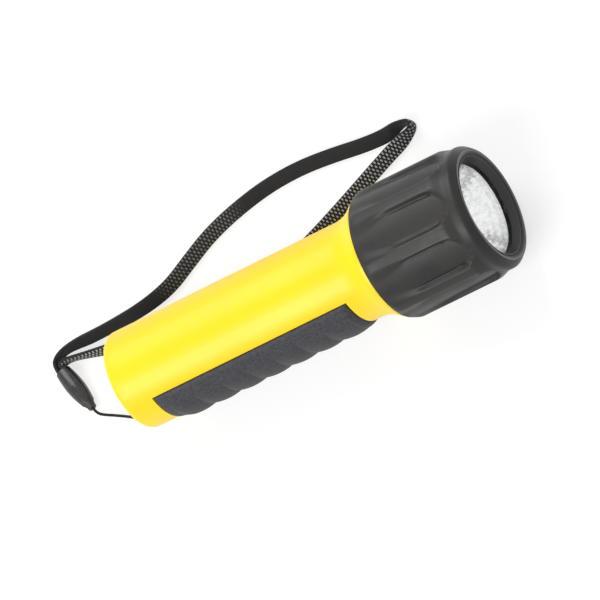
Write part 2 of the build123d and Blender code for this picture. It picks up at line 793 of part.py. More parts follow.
if __name__ == "__main__":
    rear_button = rear_board_front
    front_button = front_board_rear - CONTACT_BUTTON_HEIGHT
    rigid = {
        "barrel_shell": barrel_shell(),
        "grip_pad": grip_pad(),
        "battery_carrier": battery_carrier(),
        "rear_contact_board": contact_board(TAIL_WALL, -column_offset, rear_button),
        "front_contact_board": contact_board(front_board_rear, column_offset, front_button),
        "rear_contact_spring": contact_spring(rear_board_front, column_offset),
        "front_contact_spring": contact_spring(front_board_rear - SPRING_LENGTH, -column_offset),
        "head_sleeve": head_sleeve(),
        "head_core": head_core(),
        "lens": lens(),
        "lens_gasket": lens_gasket(),
        "bezel_ring": bezel_ring(),
        "lamp_retainer": lamp_retainer(),
        "lamp_housing": lamp_housing(),
        "reflector": reflector(),
        "led_board": led_board(),
        "led_emitter": led_emitter(),
        "heat_sink": heat_sink(),
        "board_screws": board_screws(),
        "driver_board": driver_board(),
        "contact_pin": contact_pin(),
        "ring_contact": ring_contact(),
        "lanyard_knot": at_angle(LUG_ANGLE, lanyard_knot()),
    }
    for number, middle in enumerate(o_ring_places(), 1):
        rigid[f"o_ring_{number}"] = o_ring(middle)
    number = 1
    for y, direction in columns():
        for place in range(CELLS_IN_LINE):
            x0 = column_start(direction) + place * CELL_LENGTH
            rigid[f"battery_cell_{number}"] = cell(x0, y, direction)
            number += 1

    rest = rest_location([rigid["barrel_shell"], rigid["grip_pad"], rigid["head_sleeve"]])
    pieces = {name: rest * solid for name, solid in rigid.items()}
    pieces["lanyard_cord"] = lanyard_cord(rest)
    pieces["lanyard_collar"] = lanyard_collar()
    pieces["lanyard_sleeve"] = lanyard_sleeve()
    pieces["wrist_strap"] = wrist_strap()

    os.makedirs("parts", exist_ok=True)
    for name, solid in pieces.items():
        export_step(solid, f"parts/{name}.step")
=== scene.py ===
"""Looks of a diving torch with a fluted twist head and a wrist lanyard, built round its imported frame.

Lengths in the tables are in millimetres in the torch's own frame: x runs from the tail face to the
window, r is the distance from its axis, and angles turn about the axis from the top towards the pad.
"""

import json
import math

import bpy
import numpy as np
from bpy.props import FloatProperty, FloatVectorProperty, IntProperty, PointerProperty
from mathutils import Matrix, Vector


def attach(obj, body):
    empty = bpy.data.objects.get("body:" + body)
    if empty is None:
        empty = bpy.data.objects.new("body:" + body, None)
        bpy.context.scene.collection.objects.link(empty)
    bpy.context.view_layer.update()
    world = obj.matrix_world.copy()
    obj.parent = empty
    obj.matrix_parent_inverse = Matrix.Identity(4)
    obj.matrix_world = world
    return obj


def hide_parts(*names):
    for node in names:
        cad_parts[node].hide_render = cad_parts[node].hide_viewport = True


bl_info = {
    "name": "Diving Torch Looks",
    "version": (1, 0, 0),
    "blender": (4, 5, 0),
    "location": "View3D > Sidebar > Diving Torch",
    "description": "Builds the visible pieces, finishes and studio of a diving torch round its frame",
    "category": "Object",
}

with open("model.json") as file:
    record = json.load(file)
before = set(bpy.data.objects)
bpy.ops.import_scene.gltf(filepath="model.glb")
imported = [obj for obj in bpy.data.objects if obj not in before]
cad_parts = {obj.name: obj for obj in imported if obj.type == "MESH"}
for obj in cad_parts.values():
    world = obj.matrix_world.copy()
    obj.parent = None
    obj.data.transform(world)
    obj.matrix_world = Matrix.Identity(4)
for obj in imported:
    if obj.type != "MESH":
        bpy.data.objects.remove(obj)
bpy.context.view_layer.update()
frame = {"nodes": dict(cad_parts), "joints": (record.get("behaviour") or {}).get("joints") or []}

MM = 0.001
UP = np.array((0, 0, 1.0))


# ------------------------------------------------------------------ places on the torch
BARREL_R = 19.5
BORE_R = 17.5
TAIL_WALL = 4.0
TAIL_ROUND = 3.0
FLARE = (103.5, 115.0)
FLANGE_R = 23.9
FLANGE_FRONT = 117.2
NECK_R = 21.5
NECK_BORE_R = 18.4
NECK_FRONT = 134.0
LAMP_SEAT = 112.8
O_RINGS = (119.6, 122.8)
O_RING_GROOVE = (2.0, 20.05)
PAD_ENDS = (13.1, 100.6)
PAD_ANGLE = 101.75
PAD_HALF_ANGLE = 53.75
PAD_POCKET_R = 18.7
PAD_GROOVE = 0.3
HEAD_REAR = 116.5
HEAD_FRONT = 164.1
LAND_R = 26.2
POCKET_WALL = 0.04
BARREL_STEP = 2.0               # degrees
LUG_ANGLE = 152.5
LUG_R = 15.0
LUG_HALF_WIDTH = 3.0
LUG_ROOT = 0.6
# level, then how far the tab's edge and its eye grow there
LUG_LAYERS = ((-1.2, -0.25, 0.2), (-0.95, 0.0, 0.0), (0.95, 0.0, 0.0), (1.2, -0.25, 0.2))
LUG_COLUMNS = 64
EYE_X = -2.0
EYE_R = 1.1
SLEEVE_TIP = (-104.7, 2.3, 3.8)
SLEEVE_HEADING = 111.3
COLLAR_LENGTH = 3.0
SLEEVE_LENGTH = 16.5
SLEEVE_R = (2.6, 3.7, 3.1)      # at the collar, at the bulge and at the mouth

# the grip pad's surface
PAD_MARGIN = 3.0                # from an end to the first wave
PAD_RAMPS = (6.0, 3.0)          # tail end and head end
PAD_RAMP_POWER = 1.4
PAD_LIP = (0.4, 0.5)            # height, and the run over which it comes up
PAD_SUNK = 0.1
PAD_RISE = 1.0
PAD_EDGE_ROUND = 1.1
PAD_EDGE_SHARE = 0.30           # of the height that stands at the long edges
SCALLOP_FADE = (24, 42)         # angles off the middle between which the waves die out
SCALLOP_DIP = 0.15              # share of a wave's height that it starts below the pad
PAD_END_STATIONS = (0, 0.04, 0.15, 0.35, 0.7, 1.3, 2.1, 2.7)
PAD_EDGE_STATIONS = (0, 0.12, 0.3, 0.6, 1.0, 1.5, 2.1, 2.8, 3.6)
WAVE_STATIONS = (
    0, 0.012, 0.03, 0.06, 0.11, 0.18, 0.26, 0.35, 0.45, 0.55, 0.65, 0.74, 0.82, 0.89, 0.94, 0.97, 0.988,
)

# the head cover's shoulder and flutes
SHOULDER = (3.5, 1.7)
FLUTE_HALF_ANGLE = 16.8
FLUTE_END = 158.5
FLUTE_INNER_R = 24.0
FLUTE_FLOOR = ((115.5, 158.5), (25.0, 24.1))    # x, r
FLUTE_CLOSING = (148.0, 157.6)
FLUTE_CLOSING_POWER = 2.6
FLUTE_SOFT_REAR = (8.5, 119.0, 136.0)           # extra angle, and where it dies out
FLUTE_SOFT_OUT = 0.35                           # share of the soft edge that lies on the land
CREASE = (0.28, 128.0, 138.0)                   # depth, and where it comes in
CREASE_PLACE = (1.3, 0.7, 6.0)                  # flute edges inside, spread, flute width it needs
# the lip's crest: beyond this x and inside this r the rubber gets a painted highlight line
CREST_HIGHLIGHT = (163.95, 22.6)
LAND = (154, 25.6)
LAND_WEAR_AND_HIGHLIGHT = (0.18, 126, 138)                    # amount of the lighter band beside the flutes' edges, wear with a painted highlight, and where it comes in
LAND_WEAR_AND_HIGHLIGHT_SPREAD = (0.6, 0.8)                   # angles: beside the flute's edge, and spread

# the dish, a paraboloid
DISH_BACK = 137.0
DISH_DEPTH = 20.1
DISH_THROAT_R = 3.8
DISH_MOUTH_R = 18.25
DISH_WALL = 1.2
DISH_RIM = ((157.1, 18.5), (154.3, 18.5), (154.3, 18.0))
DISH_BACK_END = 150.5
DISH_GROWTH = 1.35              # power that draws the facets together towards the throat
FACET_PARTS = 4

# the neck's thread, in metres
FIRST_RIDGE = 0.1252
RIDGE_WIRE = 0.0004

# routes of the lanyard with the torch lying at rest, within about 5 mm of the solids' own
CORD_ROUTE = (
    (-81.70, -6.35, 7.06), (-81.55, -8.03, 3.83), (-84.4, -10.2, 2.6), (-88.3, -8.7, 1.6),
    (-93.2, -5.7, 1.2), (-98.4, -3.0, 1.5), (-102.2, -1.3, 2.8), (-103.83, 0.06, 3.8),
    (-104.7, 2.3, 3.8),
)
STRAP_Z = 3.5
STRAP_ROUTE = (
    (-112.855, 20.050), (-113.8, 23.4), (-112.2, 26.1), (-108.8, 27.8), (-103.3, 28.3),
    (-95.5, 28.3), (-85.2, 28.8), (-73.1, 29.9), (-60.7, 33.1), (-49.8, 39.2), (-38.9, 45.0),
    (-26.0, 49.4), (-11.0, 52.8), (4.0, 53.9), (18.5, 52.9), (31.5, 51.2), (42.2, 50.8),
    (48.0, 52.3), (52.6, 52.3), (53.4, 49.6), (50.7, 47.3), (43.0, 44.7), (32.0, 39.8),
    (18.0, 33.4), (4.0, 27.3), (-9.0, 22.3), (-24.0, 19.2), (-41.0, 18.2), (-58.0, 18.8),
    (-73.0, 19.6), (-85.3, 20.2), (-94.7, 21.5), (-103.2, 23.2), (-107.8, 23.9),
    (-110.4, 23.7), (-111.730, 22.7), (-110.713, 20.886),
)
STRAP_FOLD = (53.3, 51.0)

# the lanyard's surface, in metres
STRAP_STEP = 0.0003
STRAP_LIFT = 0.00008
STRAP_COLUMNS = 64
STRAP_FACE = (0.2, 0.42)                        # thicknesses off its middle where edge becomes face
LIGHT_FACE = 0.3                                # thicknesses over which the light side comes in
PLAIT_LEVEL = 0.6                               # crown height that lies on the plain section
SECTION_POWER = 3.4                             # of the superellipse that the strap is in section
SECTION_SAMPLES = 721
STRAP_HELD = (0.004, 0.014)                     # from each end, where it leaves the sleeve's height
LEAN_OUT = ((0.50, 0.006, 0.022), (0.50, 0.026, 0.065))      # share, start and end of each ramp
LEAN_BACK = ((0.40, 0.006, 0.026), (0.60, 0.026, 0.060))
LEAN_FOLD = ((-0.014, -0.001), (0.001, 0.012))               # before and after the fold
PAINTED_GLINT_SPAN = ((-0.068, -0.056), (-0.032, -0.020))           # x where the painted glint of the light threads' dots on the dark face comes and goes
# share of the light threads' dots that the painted glint shows on the dark face
PAINTED_GLINT_SHARE = 0.38
CORD_STEP = 0.00014
CORD_COLUMNS = 12
CORD_STRANDS = 3
CORD_STRAND_SHARE = 0.3
CORD_FIBRE = 0.0006
TURNED_COLUMNS = 64


def torch_placement():
    """Matrix that lays the torch's own frame down as the frame's hinge says."""
    hinge = next(j for j in frame["joints"] if j["name"] == "head_turn")
    ahead = -Vector(hinge["axis"]).normalized()
    side = Vector((0, 1, 0))
    matrix = Matrix((ahead, side, ahead.cross(side))).transposed().to_4x4()
    matrix.translation = Vector(hinge["pos_m"]) - ahead * HEAD_REAR * MM
    return matrix


TORCH = torch_placement()


# ------------------------------------------------------------------ settings
def length(label, text, default):
    return FloatProperty(
        name=label, description=text, default=default, min=0, subtype="DISTANCE", unit="LENGTH",
        precision=5,
    )


def number(label, text, default, least):
    return IntProperty(name=label, description=text, default=default, min=least)


def angle(label, text, degrees):
    return FloatProperty(
        name=label, description=text, default=math.radians(degrees), subtype="ANGLE", unit="ROTATION",
    )


def power(label, text, default):
    return FloatProperty(
        name=label, description=text, default=default, min=0, subtype="POWER", unit="POWER",
    )


def colour(label, text, default):
    return FloatVectorProperty(
        name=label, description=text, default=default, size=3, min=0, max=1, subtype="COLOR",
    )


class TorchSizes(bpy.types.PropertyGroup):
    """Sizes of the details that the looks add to the torch."""

    strap_thickness: length("Strap Thickness", "Thickness of the flat wrist braid", 0.0017)
    strap_width: length("Strap Width", "Width of the flat wrist braid", 0.006)
    strap_lean: angle("Strap Lean", "How far the strap tips over on its free legs", 58)
    braid_pitch: length("Braid Pitch", "Distance between light threads along the strap", 0.00155)
    braid_relief: length("Braid Relief", "Height of the strap's plaited strands", 0.00013)
    cord_diameter: length("Cord Diameter", "Diameter of the thin laid cord", 0.0012)
    cord_lay: length("Cord Lay", "Length of one turn of the thin cord's strands", 0.0026)
    pad_scallops: number("Finger Scallops", "Number of waves along the grip pad", 7, 1)
    pad_crest: length("Scallop Height", "Height of the grip pad's waves", 0.00075)
    flute_count: number("Flutes", "Number of flutes round the head cover", 8, 3)
    flute_edge: angle("Flute Edge", "Angle over which a flute's front edge drops", 1.7)
    ridge_height: length("Thread Height", "How far the neck's thread stands out", 0.0002)
    ridge_pitch: length("Thread Pitch", "Distance between the neck's thread ridges", 0.0015)
    ridge_count: number("Thread Ridges", "Number of ridges on the neck", 6, 1)
    facet_rings: number("Reflector Rings", "Rings of facets in the dish", 11, 3)
    facet_sectors: number("Reflector Sectors", "Facets in each ring of the dish", 36, 8)
    facet_bulge: length("Facet Bulge", "How far each facet of the dish swells", 0.00009)


class TorchColours(bpy.types.PropertyGroup):
    """Colours of the torch's materials."""

    yellow: colour("Barrel Yellow", "Moulded barrel", (1.0, 0.705, 0.0))
    yellow_deep: colour("Barrel Shade", "Deeper tone in the barrel's moulding", (0.99, 0.68, 0.0))
    head: colour("Head Rubber", "Fluted head cover", (0.017, 0.0165, 0.016))
    head_bloom: colour("Head Bloom", "Chalky bloom on the head cover", (0.034, 0.032, 0.030))
    pad: colour("Pad Rubber", "Grip pad", (0.031, 0.032, 0.037))
    pad_speck: colour("Pad Speck", "Light specks in the grip pad", (0.10, 0.10, 0.112))
    strap: colour("Strap Black", "Dark threads of the strap", (0.008, 0.008, 0.009))
    strap_light: colour("Strap Grey", "Light threads of the strap", (0.40, 0.40, 0.41))
    plastic: colour("Black Plastic", "Hard inner pieces", (0.018, 0.018, 0.019))
    sleeve: colour("Sleeve", "Lanyard sleeve", (0.016, 0.016, 0.018))


class StudioSettings(bpy.types.PropertyGroup):
    """Light, floor and camera."""

    key_power: power("Key Power", "Power of the main soft box in watts", 9.2)
    fill_power: power("Fill Power", "Power of the second soft box in watts", 8.6)
    world_light: FloatProperty(
        name="World Light", description="Strength of the even light from all round", default=0.36, min=0,
    )
    camera_lens: FloatProperty(
        name="Lens", description="Focal length in millimetres", default=1600, min=1,
        subtype="DISTANCE_CAMERA",
    )


def sizes():
    return bpy.context.scene.torch_sizes


def colours():
    return bpy.context.scene.torch_colours


# ------------------------------------------------------------------ node helpers
class Graph:
    """Places nodes in rows and links what they are given."""

    def __init__(self, tree):
        self.tree = tree
        self.count = 0

    def add(self, kind, inputs=None, **settings):
        node = self.tree.nodes.new(kind)
        node.location = (240 * (self.count % 7), -300 * (self.count // 7))
        self.count += 1
        for key, value in settings.items():
            setattr(node, key, value)
        self.give(node, inputs or {})
        return node

    def out(self, kind, inputs, **settings):
        """First output of a node."""
        return self.add(kind, inputs, **settings).outputs[0]

    def give(self, node, inputs):
        """Links the inputs that are given a socket and sets the others."""
        for key, value in inputs.items():
            if isinstance(value, bpy.types.NodeSocket):
                self.tree.links.new(value, node.inputs[key])
            else:
                node.inputs[key].default_value = value

    def math(self, operation, *values, clamp=False):
        return self.out("ShaderNodeMath", dict(enumerate(values)), operation=operation, use_clamp=clamp)

    def blend(self, factor, first, second):
        node = self.add("ShaderNodeMix", {0: factor, 6: first, 7: second}, data_type="RGBA")
        return node.outputs[2]

    def span(self, value, low, high, to_low=0.0, to_high=1.0):
        return self.out(
            "ShaderNodeMapRange", {0: value, 1: low, 2: high, 3: to_low, 4: to_high},
            interpolation_type="SMOOTHSTEP",
        )

    def noise(self, vector, scale, detail=3.0, roughness=0.5):
        inputs = {"Vector": vector, "Scale": scale, "Detail": detail, "Roughness": roughness}
        return self.out("ShaderNodeTexNoise", inputs)


def fresh_graph(owner, output_kind):
    """Graph of a material or world that holds nothing but its output."""
    owner.use_nodes = True
    graph = Graph(owner.node_tree)
    graph.tree.nodes.clear()
    return graph, graph.add(output_kind)


def mix_onto(graph, output, factor, first, second):
    """Puts a mix of two shaders on the output."""
    mixed = graph.out("ShaderNodeMixShader", {0: factor, 1: first.outputs[0], 2: second.outputs[0]})
    graph.tree.links.new(mixed, output.inputs[0])


SOCKETS = {"vector": "NodeSocketVector", "colour": "NodeSocketColor", "value": "NodeSocketFloat"}


def shader_group(name, inputs, outputs):
    """Empty node group with its sockets, as (graph, input sockets by name, link to an output)."""
    tree = bpy.data.node_groups.new(name, "ShaderNodeTree")
    for label, kind, default in inputs:
        socket = tree.interface.new_socket(label, in_out="INPUT", socket_type=SOCKETS[kind])
        socket.default_value = default
    for label, kind in outputs:
        tree.interface.new_socket(label, in_out="OUTPUT", socket_type=SOCKETS[kind])
    graph = Graph(tree)
    entry = graph.add("NodeGroupInput")
    leave = graph.add("NodeGroupOutput")
    return graph, entry.outputs, lambda label, socket: tree.links.new(socket, leave.inputs[label])


def moulded_group():
    """Soft tone and gloss changes of moulded plastic or rubber, with a fine surface grain."""
    graph, given, put = shader_group(
        "Moulded Surface",
        [
            ("Vector", "vector", (0, 0, 0)), ("Colour", "colour", (0.5, 0.5, 0.5, 1)),
            ("Shade", "colour", (0.4, 0.4, 0.4, 1)), ("Patch Scale", "value", 60.0),
            ("Grain Scale", "value", 2500.0), ("Roughness", "value", 0.4),
            ("Roughness Change", "value", 0.08),
        ],
        [("Colour", "colour"), ("Roughness", "value"), ("Height", "value")],
    )
    patch = graph.span(graph.noise(given["Vector"], given["Patch Scale"]), 0.32, 0.68)
    put("Colour", graph.blend(patch, given["Colour"], given["Shade"]))
    change = graph.math("MULTIPLY", graph.math("SUBTRACT", patch, 0.5), given["Roughness Change"])
    put("Roughness", graph.math("ADD", given["Roughness"], change, clamp=True))
    put("Height", graph.noise(given["Vector"], given["Grain Scale"], 4.0, 0.6))
    return graph.tree


def speck_group():
    """Small light specks and pits, as in filled rubber."""
    graph, given, put = shader_group(
        "Rubber Specks",
        [
            ("Vector", "vector", (0, 0, 0)), ("Scale", "value", 900.0), ("Size", "value", 0.3),
            ("Breakup Scale", "value", 120.0),
        ],
        [("Mask", "value"), ("Height", "value")],
    )
    cells = graph.add(
        "ShaderNodeTexVoronoi", {"Vector": given["Vector"], "Scale": given["Scale"], "Randomness": 1.0},
    )
    dots = graph.span(cells.outputs["Distance"], 0.0, given["Size"], 1.0, 0.0)
    breakup = graph.span(graph.noise(given["Vector"], given["Breakup Scale"], 4.0, 0.6), 0.36, 0.66)
    put("Mask", graph.math("MULTIPLY", dots, breakup))
    put("Height", dots)
    return graph.tree


def handling_group():
    """Faint rubbed marks that run round and along a handled surface."""
    graph, given, put = shader_group(
        "Handling Marks",
        [("Vector", "vector", (0, 0, 0)), ("Scale", "value", 140.0), ("Amount", "value", 0.5)],
        [("Mask", "value")],
    )
    masks = []
    for stretch, turn in (((1, 9, 9), (0, 0, 0.5)), ((6, 1, 7), (0.4, 0, -0.7))):
        inputs = {"Vector": given["Vector"], "Rotation": turn, "Scale": stretch}
        streak = graph.noise(graph.out("ShaderNodeMapping", inputs), given["Scale"], 3.0, 0.7)
        masks.append(graph.span(streak, 0.62, 0.74))
    both = graph.math("MAXIMUM", *masks)
    put("Mask", graph.math("MULTIPLY", both, given["Amount"]))
    return graph.tree


def plait_group():
    """Crowns of a plait's strands from a UV map with one unit for each crown along and across."""
    graph, given, put = shader_group(
        "Plait",
        [("UV", "vector", (0, 0, 0)), ("Thread Count", "value", 7.0)],
        [("Crown", "value"), ("Thread", "value")],
    )
    split = graph.add("ShaderNodeSeparateXYZ", {0: given["UV"]})
    along = graph.math("COSINE", graph.math("MULTIPLY", split.outputs[0], math.tau))
    across = graph.math("COSINE", graph.math("MULTIPLY", split.outputs[1], math.tau))
    crown = graph.math("MULTIPLY_ADD", graph.math("MULTIPLY", along, across), 0.5, 0.5)
    put("Crown", crown)
    slant = graph.math(
        "MULTIPLY", graph.math("ADD", split.outputs[0], split.outputs[1]), given["Thread Count"],
    )
    thread = graph.math("SINE", graph.math("MULTIPLY", slant, math.tau))
    put("Thread", graph.math("MULTIPLY_ADD", thread, 0.5, 0.5))
    return graph.tree


def group_tree(name, build):
    """The group of that name, built the first time that it is asked for."""
    return bpy.data.node_groups.get(name) or build()


def add_group(graph, name, build, inputs):
    """Outputs of the named group, placed with its own values."""
    return graph.add("ShaderNodeGroup", inputs, node_tree=group_tree(name, build)).outputs


def rgba(value):
    return (*value, 1.0)


def toned(value, factor):
    """Lighter or darker colour."""
    return tuple(min(1.0, v * factor) for v in value)


def new_material(name):
    """Material with its graph, a Principled BSDF on the output and object coordinates."""
    material = bpy.data.materials.new(name)
    graph, output = fresh_graph(material, "ShaderNodeOutputMaterial")
    shader = graph.add("ShaderNodeBsdfPrincipled")
    graph.tree.links.new(shader.outputs[0], output.inputs[0])
    place = graph.add("ShaderNodeTexCoord").outputs["Object"]
    return material, graph, shader, place


def give_shader(graph, shader, **values):
    """Inputs of the Principled BSDF, with underscores for the spaces in their names."""
    graph.give(shader, {key.replace("_", " "): value for key, value in values.items()})


def bump(graph, height, distance):
    """Normal from a height."""
    return graph.out("ShaderNodeBump", {"Height": height, "Distance": distance, "Strength": 1.0})


# ------------------------------------------------------------------ materials
def moulded_material(
    name, base, shade, roughness, patch=60.0, grain=2600.0, relief=0.00001, marks=0.0,
    marks_colour=None, specular=0.5, change=0.08, metallic=0.0,
):
    """Moulded, painted or plated piece with soft tone changes, a grain and faint rubbed marks."""
    material, graph, shader, place = new_material(name)
    surface = add_group(graph, "Moulded Surface", moulded_group, {
        "Vector": place, "Colour": rgba(base), "Shade": rgba(shade), "Patch Scale": patch,
        "Grain Scale": grain, "Roughness": roughness, "Roughness Change": change,
    })
    tint = surface["Colour"]
    gloss = surface["Roughness"]
    if marks:
        given = {"Vector": place, "Amount": marks}
        rubbed = add_group(graph, "Handling Marks", handling_group, given)["Mask"]
        tint = graph.blend(rubbed, tint, rgba(marks_colour or shade))
        gloss = graph.math("ADD", gloss, graph.math("MULTIPLY", rubbed, 0.25), clamp=True)
    give_shader(
        graph, shader, Base_Color=tint, Roughness=gloss, Normal=bump(graph, surface["Height"], relief),
        Specular_IOR_Level=specular, Metallic=metallic,
    )
    return material


def yellow_material():
    """Satin yellow plastic."""
    c = colours()
    material = moulded_material(
        "moulded_yellow", c.yellow, c.yellow_deep, 0.42, patch=30.0, grain=2200.0, relief=0.000004,
        marks=0.05, marks_colour=(1.0, 0.84, 0.10), specular=0.42, change=0.04,
    )
    shader = next(n for n in material.node_tree.nodes if n.type == "BSDF_PRINCIPLED")
    shader.inputs["Coat Weight"].default_value = 0.1
    shader.inputs["Coat Roughness"].default_value = 0.2
    return material


def rubber_material(name, base, bloom, roughness, patch, speck, speck_scale, relief, specular, amount):
    """Matt rubber with chalky patches, specks and pits, lightened where the mesh's mask paints a highlight
    and wear.
    """
    material, graph, shader, place = new_material(name)
    surface = add_group(graph, "Moulded Surface", moulded_group, {
        "Vector": place, "Colour": rgba(base), "Shade": rgba(bloom), "Patch Scale": patch,
        "Grain Scale": speck_scale * 2, "Roughness": roughness, "Roughness Change": 0.16,
    })
    specks = add_group(
        graph, "Rubber Specks", speck_group,
        {"Vector": place, "Scale": speck_scale, "Size": 0.34, "Breakup Scale": patch * 3},
    )
    given = {"Vector": place, "Scale": 90.0, "Amount": amount}
    rubbed = add_group(graph, "Handling Marks", handling_group, given)["Mask"]
    softened = graph.blend(0.42, rgba(base), surface["Colour"])
    tint = graph.blend(specks["Mask"], softened, rgba(speck))
    tint = graph.blend(rubbed, tint, rgba(bloom))
    # painted highlight and wear: where the mesh's mask says, the rubber lightens towards five times the bloom
    # colour
    highlight_and_wear = graph.add("ShaderNodeAttribute", attribute_name="painted_highlight_and_wear").outputs["Fac"]
    tint = graph.blend(highlight_and_wear, tint, rgba(toned(bloom, 5.0)))
    height = graph.math("MULTIPLY_ADD", specks["Height"], 0.6, surface["Height"])
    give_shader(
        graph, shader, Base_Color=tint, Roughness=surface["Roughness"],
        Normal=bump(graph, height, relief), Specular_IOR_Level=specular,
    )
    return material


def braid_material(name, dark, light, threshold):
    """Plaited cord: dark strands, with light threads on the side that shows them and a painted glint of them
    on the dark side where the mask gives it.
    """
    material, graph, shader, place = new_material(name)
    uv = graph.add("ShaderNodeUVMap", uv_map="plait").outputs[0]
    plait = add_group(graph, "Plait", plait_group, {"UV": uv, "Thread Count": 5.0})
    # mask of the light face, with the painted glint on the dark face
    side = graph.add("ShaderNodeAttribute", attribute_name="light_face_and_painted_glint").outputs["Fac"]
    wobble = graph.noise(place, 1500.0, 2.0)
    level = graph.math("MULTIPLY_ADD", graph.math("SUBTRACT", wobble, 0.5), 0.35, plait["Crown"])
    dots = graph.math("MULTIPLY", graph.span(level, threshold, threshold + 0.12), side)
    fibre = graph.noise(place, 5200.0, 3.0)
    strand = graph.blend(graph.span(fibre, 0.35, 0.75), rgba(dark), rgba(toned(dark, 2.6)))
    height = graph.math("MULTIPLY_ADD", plait["Thread"], 0.35, plait["Crown"])
    height = graph.math("MULTIPLY_ADD", fibre, 0.3, height)
    give_shader(
        graph, shader, Base_Color=graph.blend(dots, strand, rgba(light)), Roughness=0.78,
        Normal=bump(graph, height, 0.00009), Specular_IOR_Level=0.25, Sheen_Weight=0.12,
        Sheen_Roughness=0.5,
    )
    return material


def reflector_material():
    """Vacuum-metallised dish with a slightly mottled film."""
    material, graph, shader, place = new_material("metallised_dish")
    cloud = graph.span(graph.noise(place, 620.0, 3.0, 0.6), 0.40, 0.70)
    tint = graph.blend(cloud, (0.98, 0.98, 0.98, 1), (0.80, 0.80, 0.81, 1))
    gloss = graph.span(graph.noise(place, 700.0, 3.0), 0.3, 0.7, 0.13, 0.22)
    normal = bump(graph, graph.noise(place, 900.0, 3.0, 0.6), 0.00001)
    give_shader(graph, shader, Base_Color=tint, Roughness=gloss, Normal=normal, Metallic=1.0)
    return material


def window_material():
    """Clear window: refracts for the eye and lets the light of the studio straight through."""
    material, graph, shader, place = new_material("clear_window")
    film = graph.span(graph.noise(place, 160.0, 4.0), 0.5, 0.8, 0.0, 0.05)
    give_shader(
        graph, shader, Base_Color=(0.985, 0.99, 0.99, 1), Roughness=film, IOR=1.46, Transmission_Weight=1.0,
    )
    path = graph.add("ShaderNodeLightPath").outputs
    through = graph.add("ShaderNodeBsdfTransparent", {0: (0.95, 0.96, 0.96, 1)})
    free = graph.math("MAXIMUM", path["Is Shadow Ray"], path["Is Diffuse Ray"])
    output = next(n for n in graph.tree.nodes if n.type == "OUTPUT_MATERIAL")
    mix_onto(graph, output, free, shader, through)
    return material


def emitter_material():
    """Yellow phosphor under a clear dome."""
    material, graph, shader, place = new_material("phosphor")
    grain = graph.span(graph.noise(place, 3000.0, 3.0), 0.3, 0.7)
    tint = graph.blend(grain, (0.86, 0.62, 0.10, 1), (0.95, 0.80, 0.25, 1))
    give_shader(graph, shader, Base_Color=tint, Roughness=0.2, Coat_Weight=0.6, Coat_Roughness=0.05)
    return material


# nodes, material, colour, second colour (black plastic where there is none), roughness, metallic
INNER_FINISHES = (
    (
        ("o_ring_1", "o_ring_2", "lens_gasket"), "moulded_seal", (0.012, 0.012, 0.012),
        (0.03, 0.03, 0.03), 0.45, 0.0,
    ),
    (
        ("battery_carrier", "head_core", "bezel_ring", "lamp_retainer", "lamp_housing"),
        "moulded_black", None, None, 0.42, 0.0,
    ),
    (
        ("battery_cell_1", "battery_cell_2", "battery_cell_3", "battery_cell_4"), "cell_wrap",
        (0.30, 0.31, 0.33), (0.24, 0.25, 0.27), 0.3, 0.6,
    ),
    (("led_board",), "white_solder_mask", (0.80, 0.81, 0.79), (0.70, 0.71, 0.69), 0.35, 0.0),
    (
        ("rear_contact_board", "front_contact_board", "driver_board"), "green_solder_mask",
        (0.02, 0.16, 0.07), (0.03, 0.22, 0.10), 0.32, 0.0,
    ),
    (("heat_sink",), "turned_aluminium", (0.62, 0.63, 0.65), (0.50, 0.51, 0.53), 0.32, 1.0),
    (
        ("rear_contact_spring", "front_contact_spring", "board_screws"), "plated_steel",
        (0.56, 0.55, 0.53), (0.45, 0.45, 0.44), 0.25, 1.0,
    ),
    (("contact_pin", "ring_contact"), "plated_brass", (0.72, 0.50, 0.20), (0.60, 0.40, 0.15), 0.25, 1.0),
)


# ------------------------------------------------------------------ mesh helpers
def link(obj):
    bpy.context.scene.collection.objects.link(obj)
    return obj


def mesh_object(name, points, faces, material=None, sharp_angle=None):
    """Smooth-shaded object at the origin from points in metres."""
    mesh = bpy.data.meshes.new(name)
    mesh.from_pydata([tuple(p) for p in points], [], faces)
    mesh.update()
    mesh.polygons.foreach_set("use_smooth", [True] * len(mesh.polygons))
    if sharp_angle:
        mesh.set_sharp_from_angle(angle=math.radians(sharp_angle))
    if material:
        mesh.materials.append(material)
    return link(bpy.data.objects.new(name, mesh))


def smoothstep(value, low, high):
    t = np.clip((np.asarray(value, float) - low) / (high - low), 0, 1)
    return t * t * (3 - 2 * t)


def rounded(corners, closed=True):
    """Outline with an arc at each corner, from (x, r, corner radius)."""
    outline = []
    count = len(corners)
    for i, (x, r, fillet) in enumerate(corners):
        here = np.array((x, r), float)
        if not fillet or (not closed and i in (0, count - 1)):
            outline.append(here)
            continue
        back = np.array(corners[i - 1][:2], float) - here
        on = np.array(corners[(i + 1) % count][:2], float) - here
        back_run, on_run = np.linalg.norm(back), np.linalg.norm(on)
        back, on = back / back_run, on / on_run
        half = math.acos(float(np.clip(back @ on, -1, 1))) / 2
        reach = min(fillet / math.tan(half), 0.49 * back_run, 0.49 * on_run)
        radius = reach * math.tan(half)
        centre = here + (back + on) / np.linalg.norm(back + on) * (radius / math.sin(half))
        first, last = here + back * reach - centre, here + on * reach - centre
        turn = math.pi - 2 * half
        steps = max(2, round(turn / math.radians(13)))
        for k in range(steps + 1):
            t = k / steps
            arc = math.sin((1 - t) * turn) * first + math.sin(t * turn) * last
            outline.append(centre + arc / math.sin(turn))
    return outline


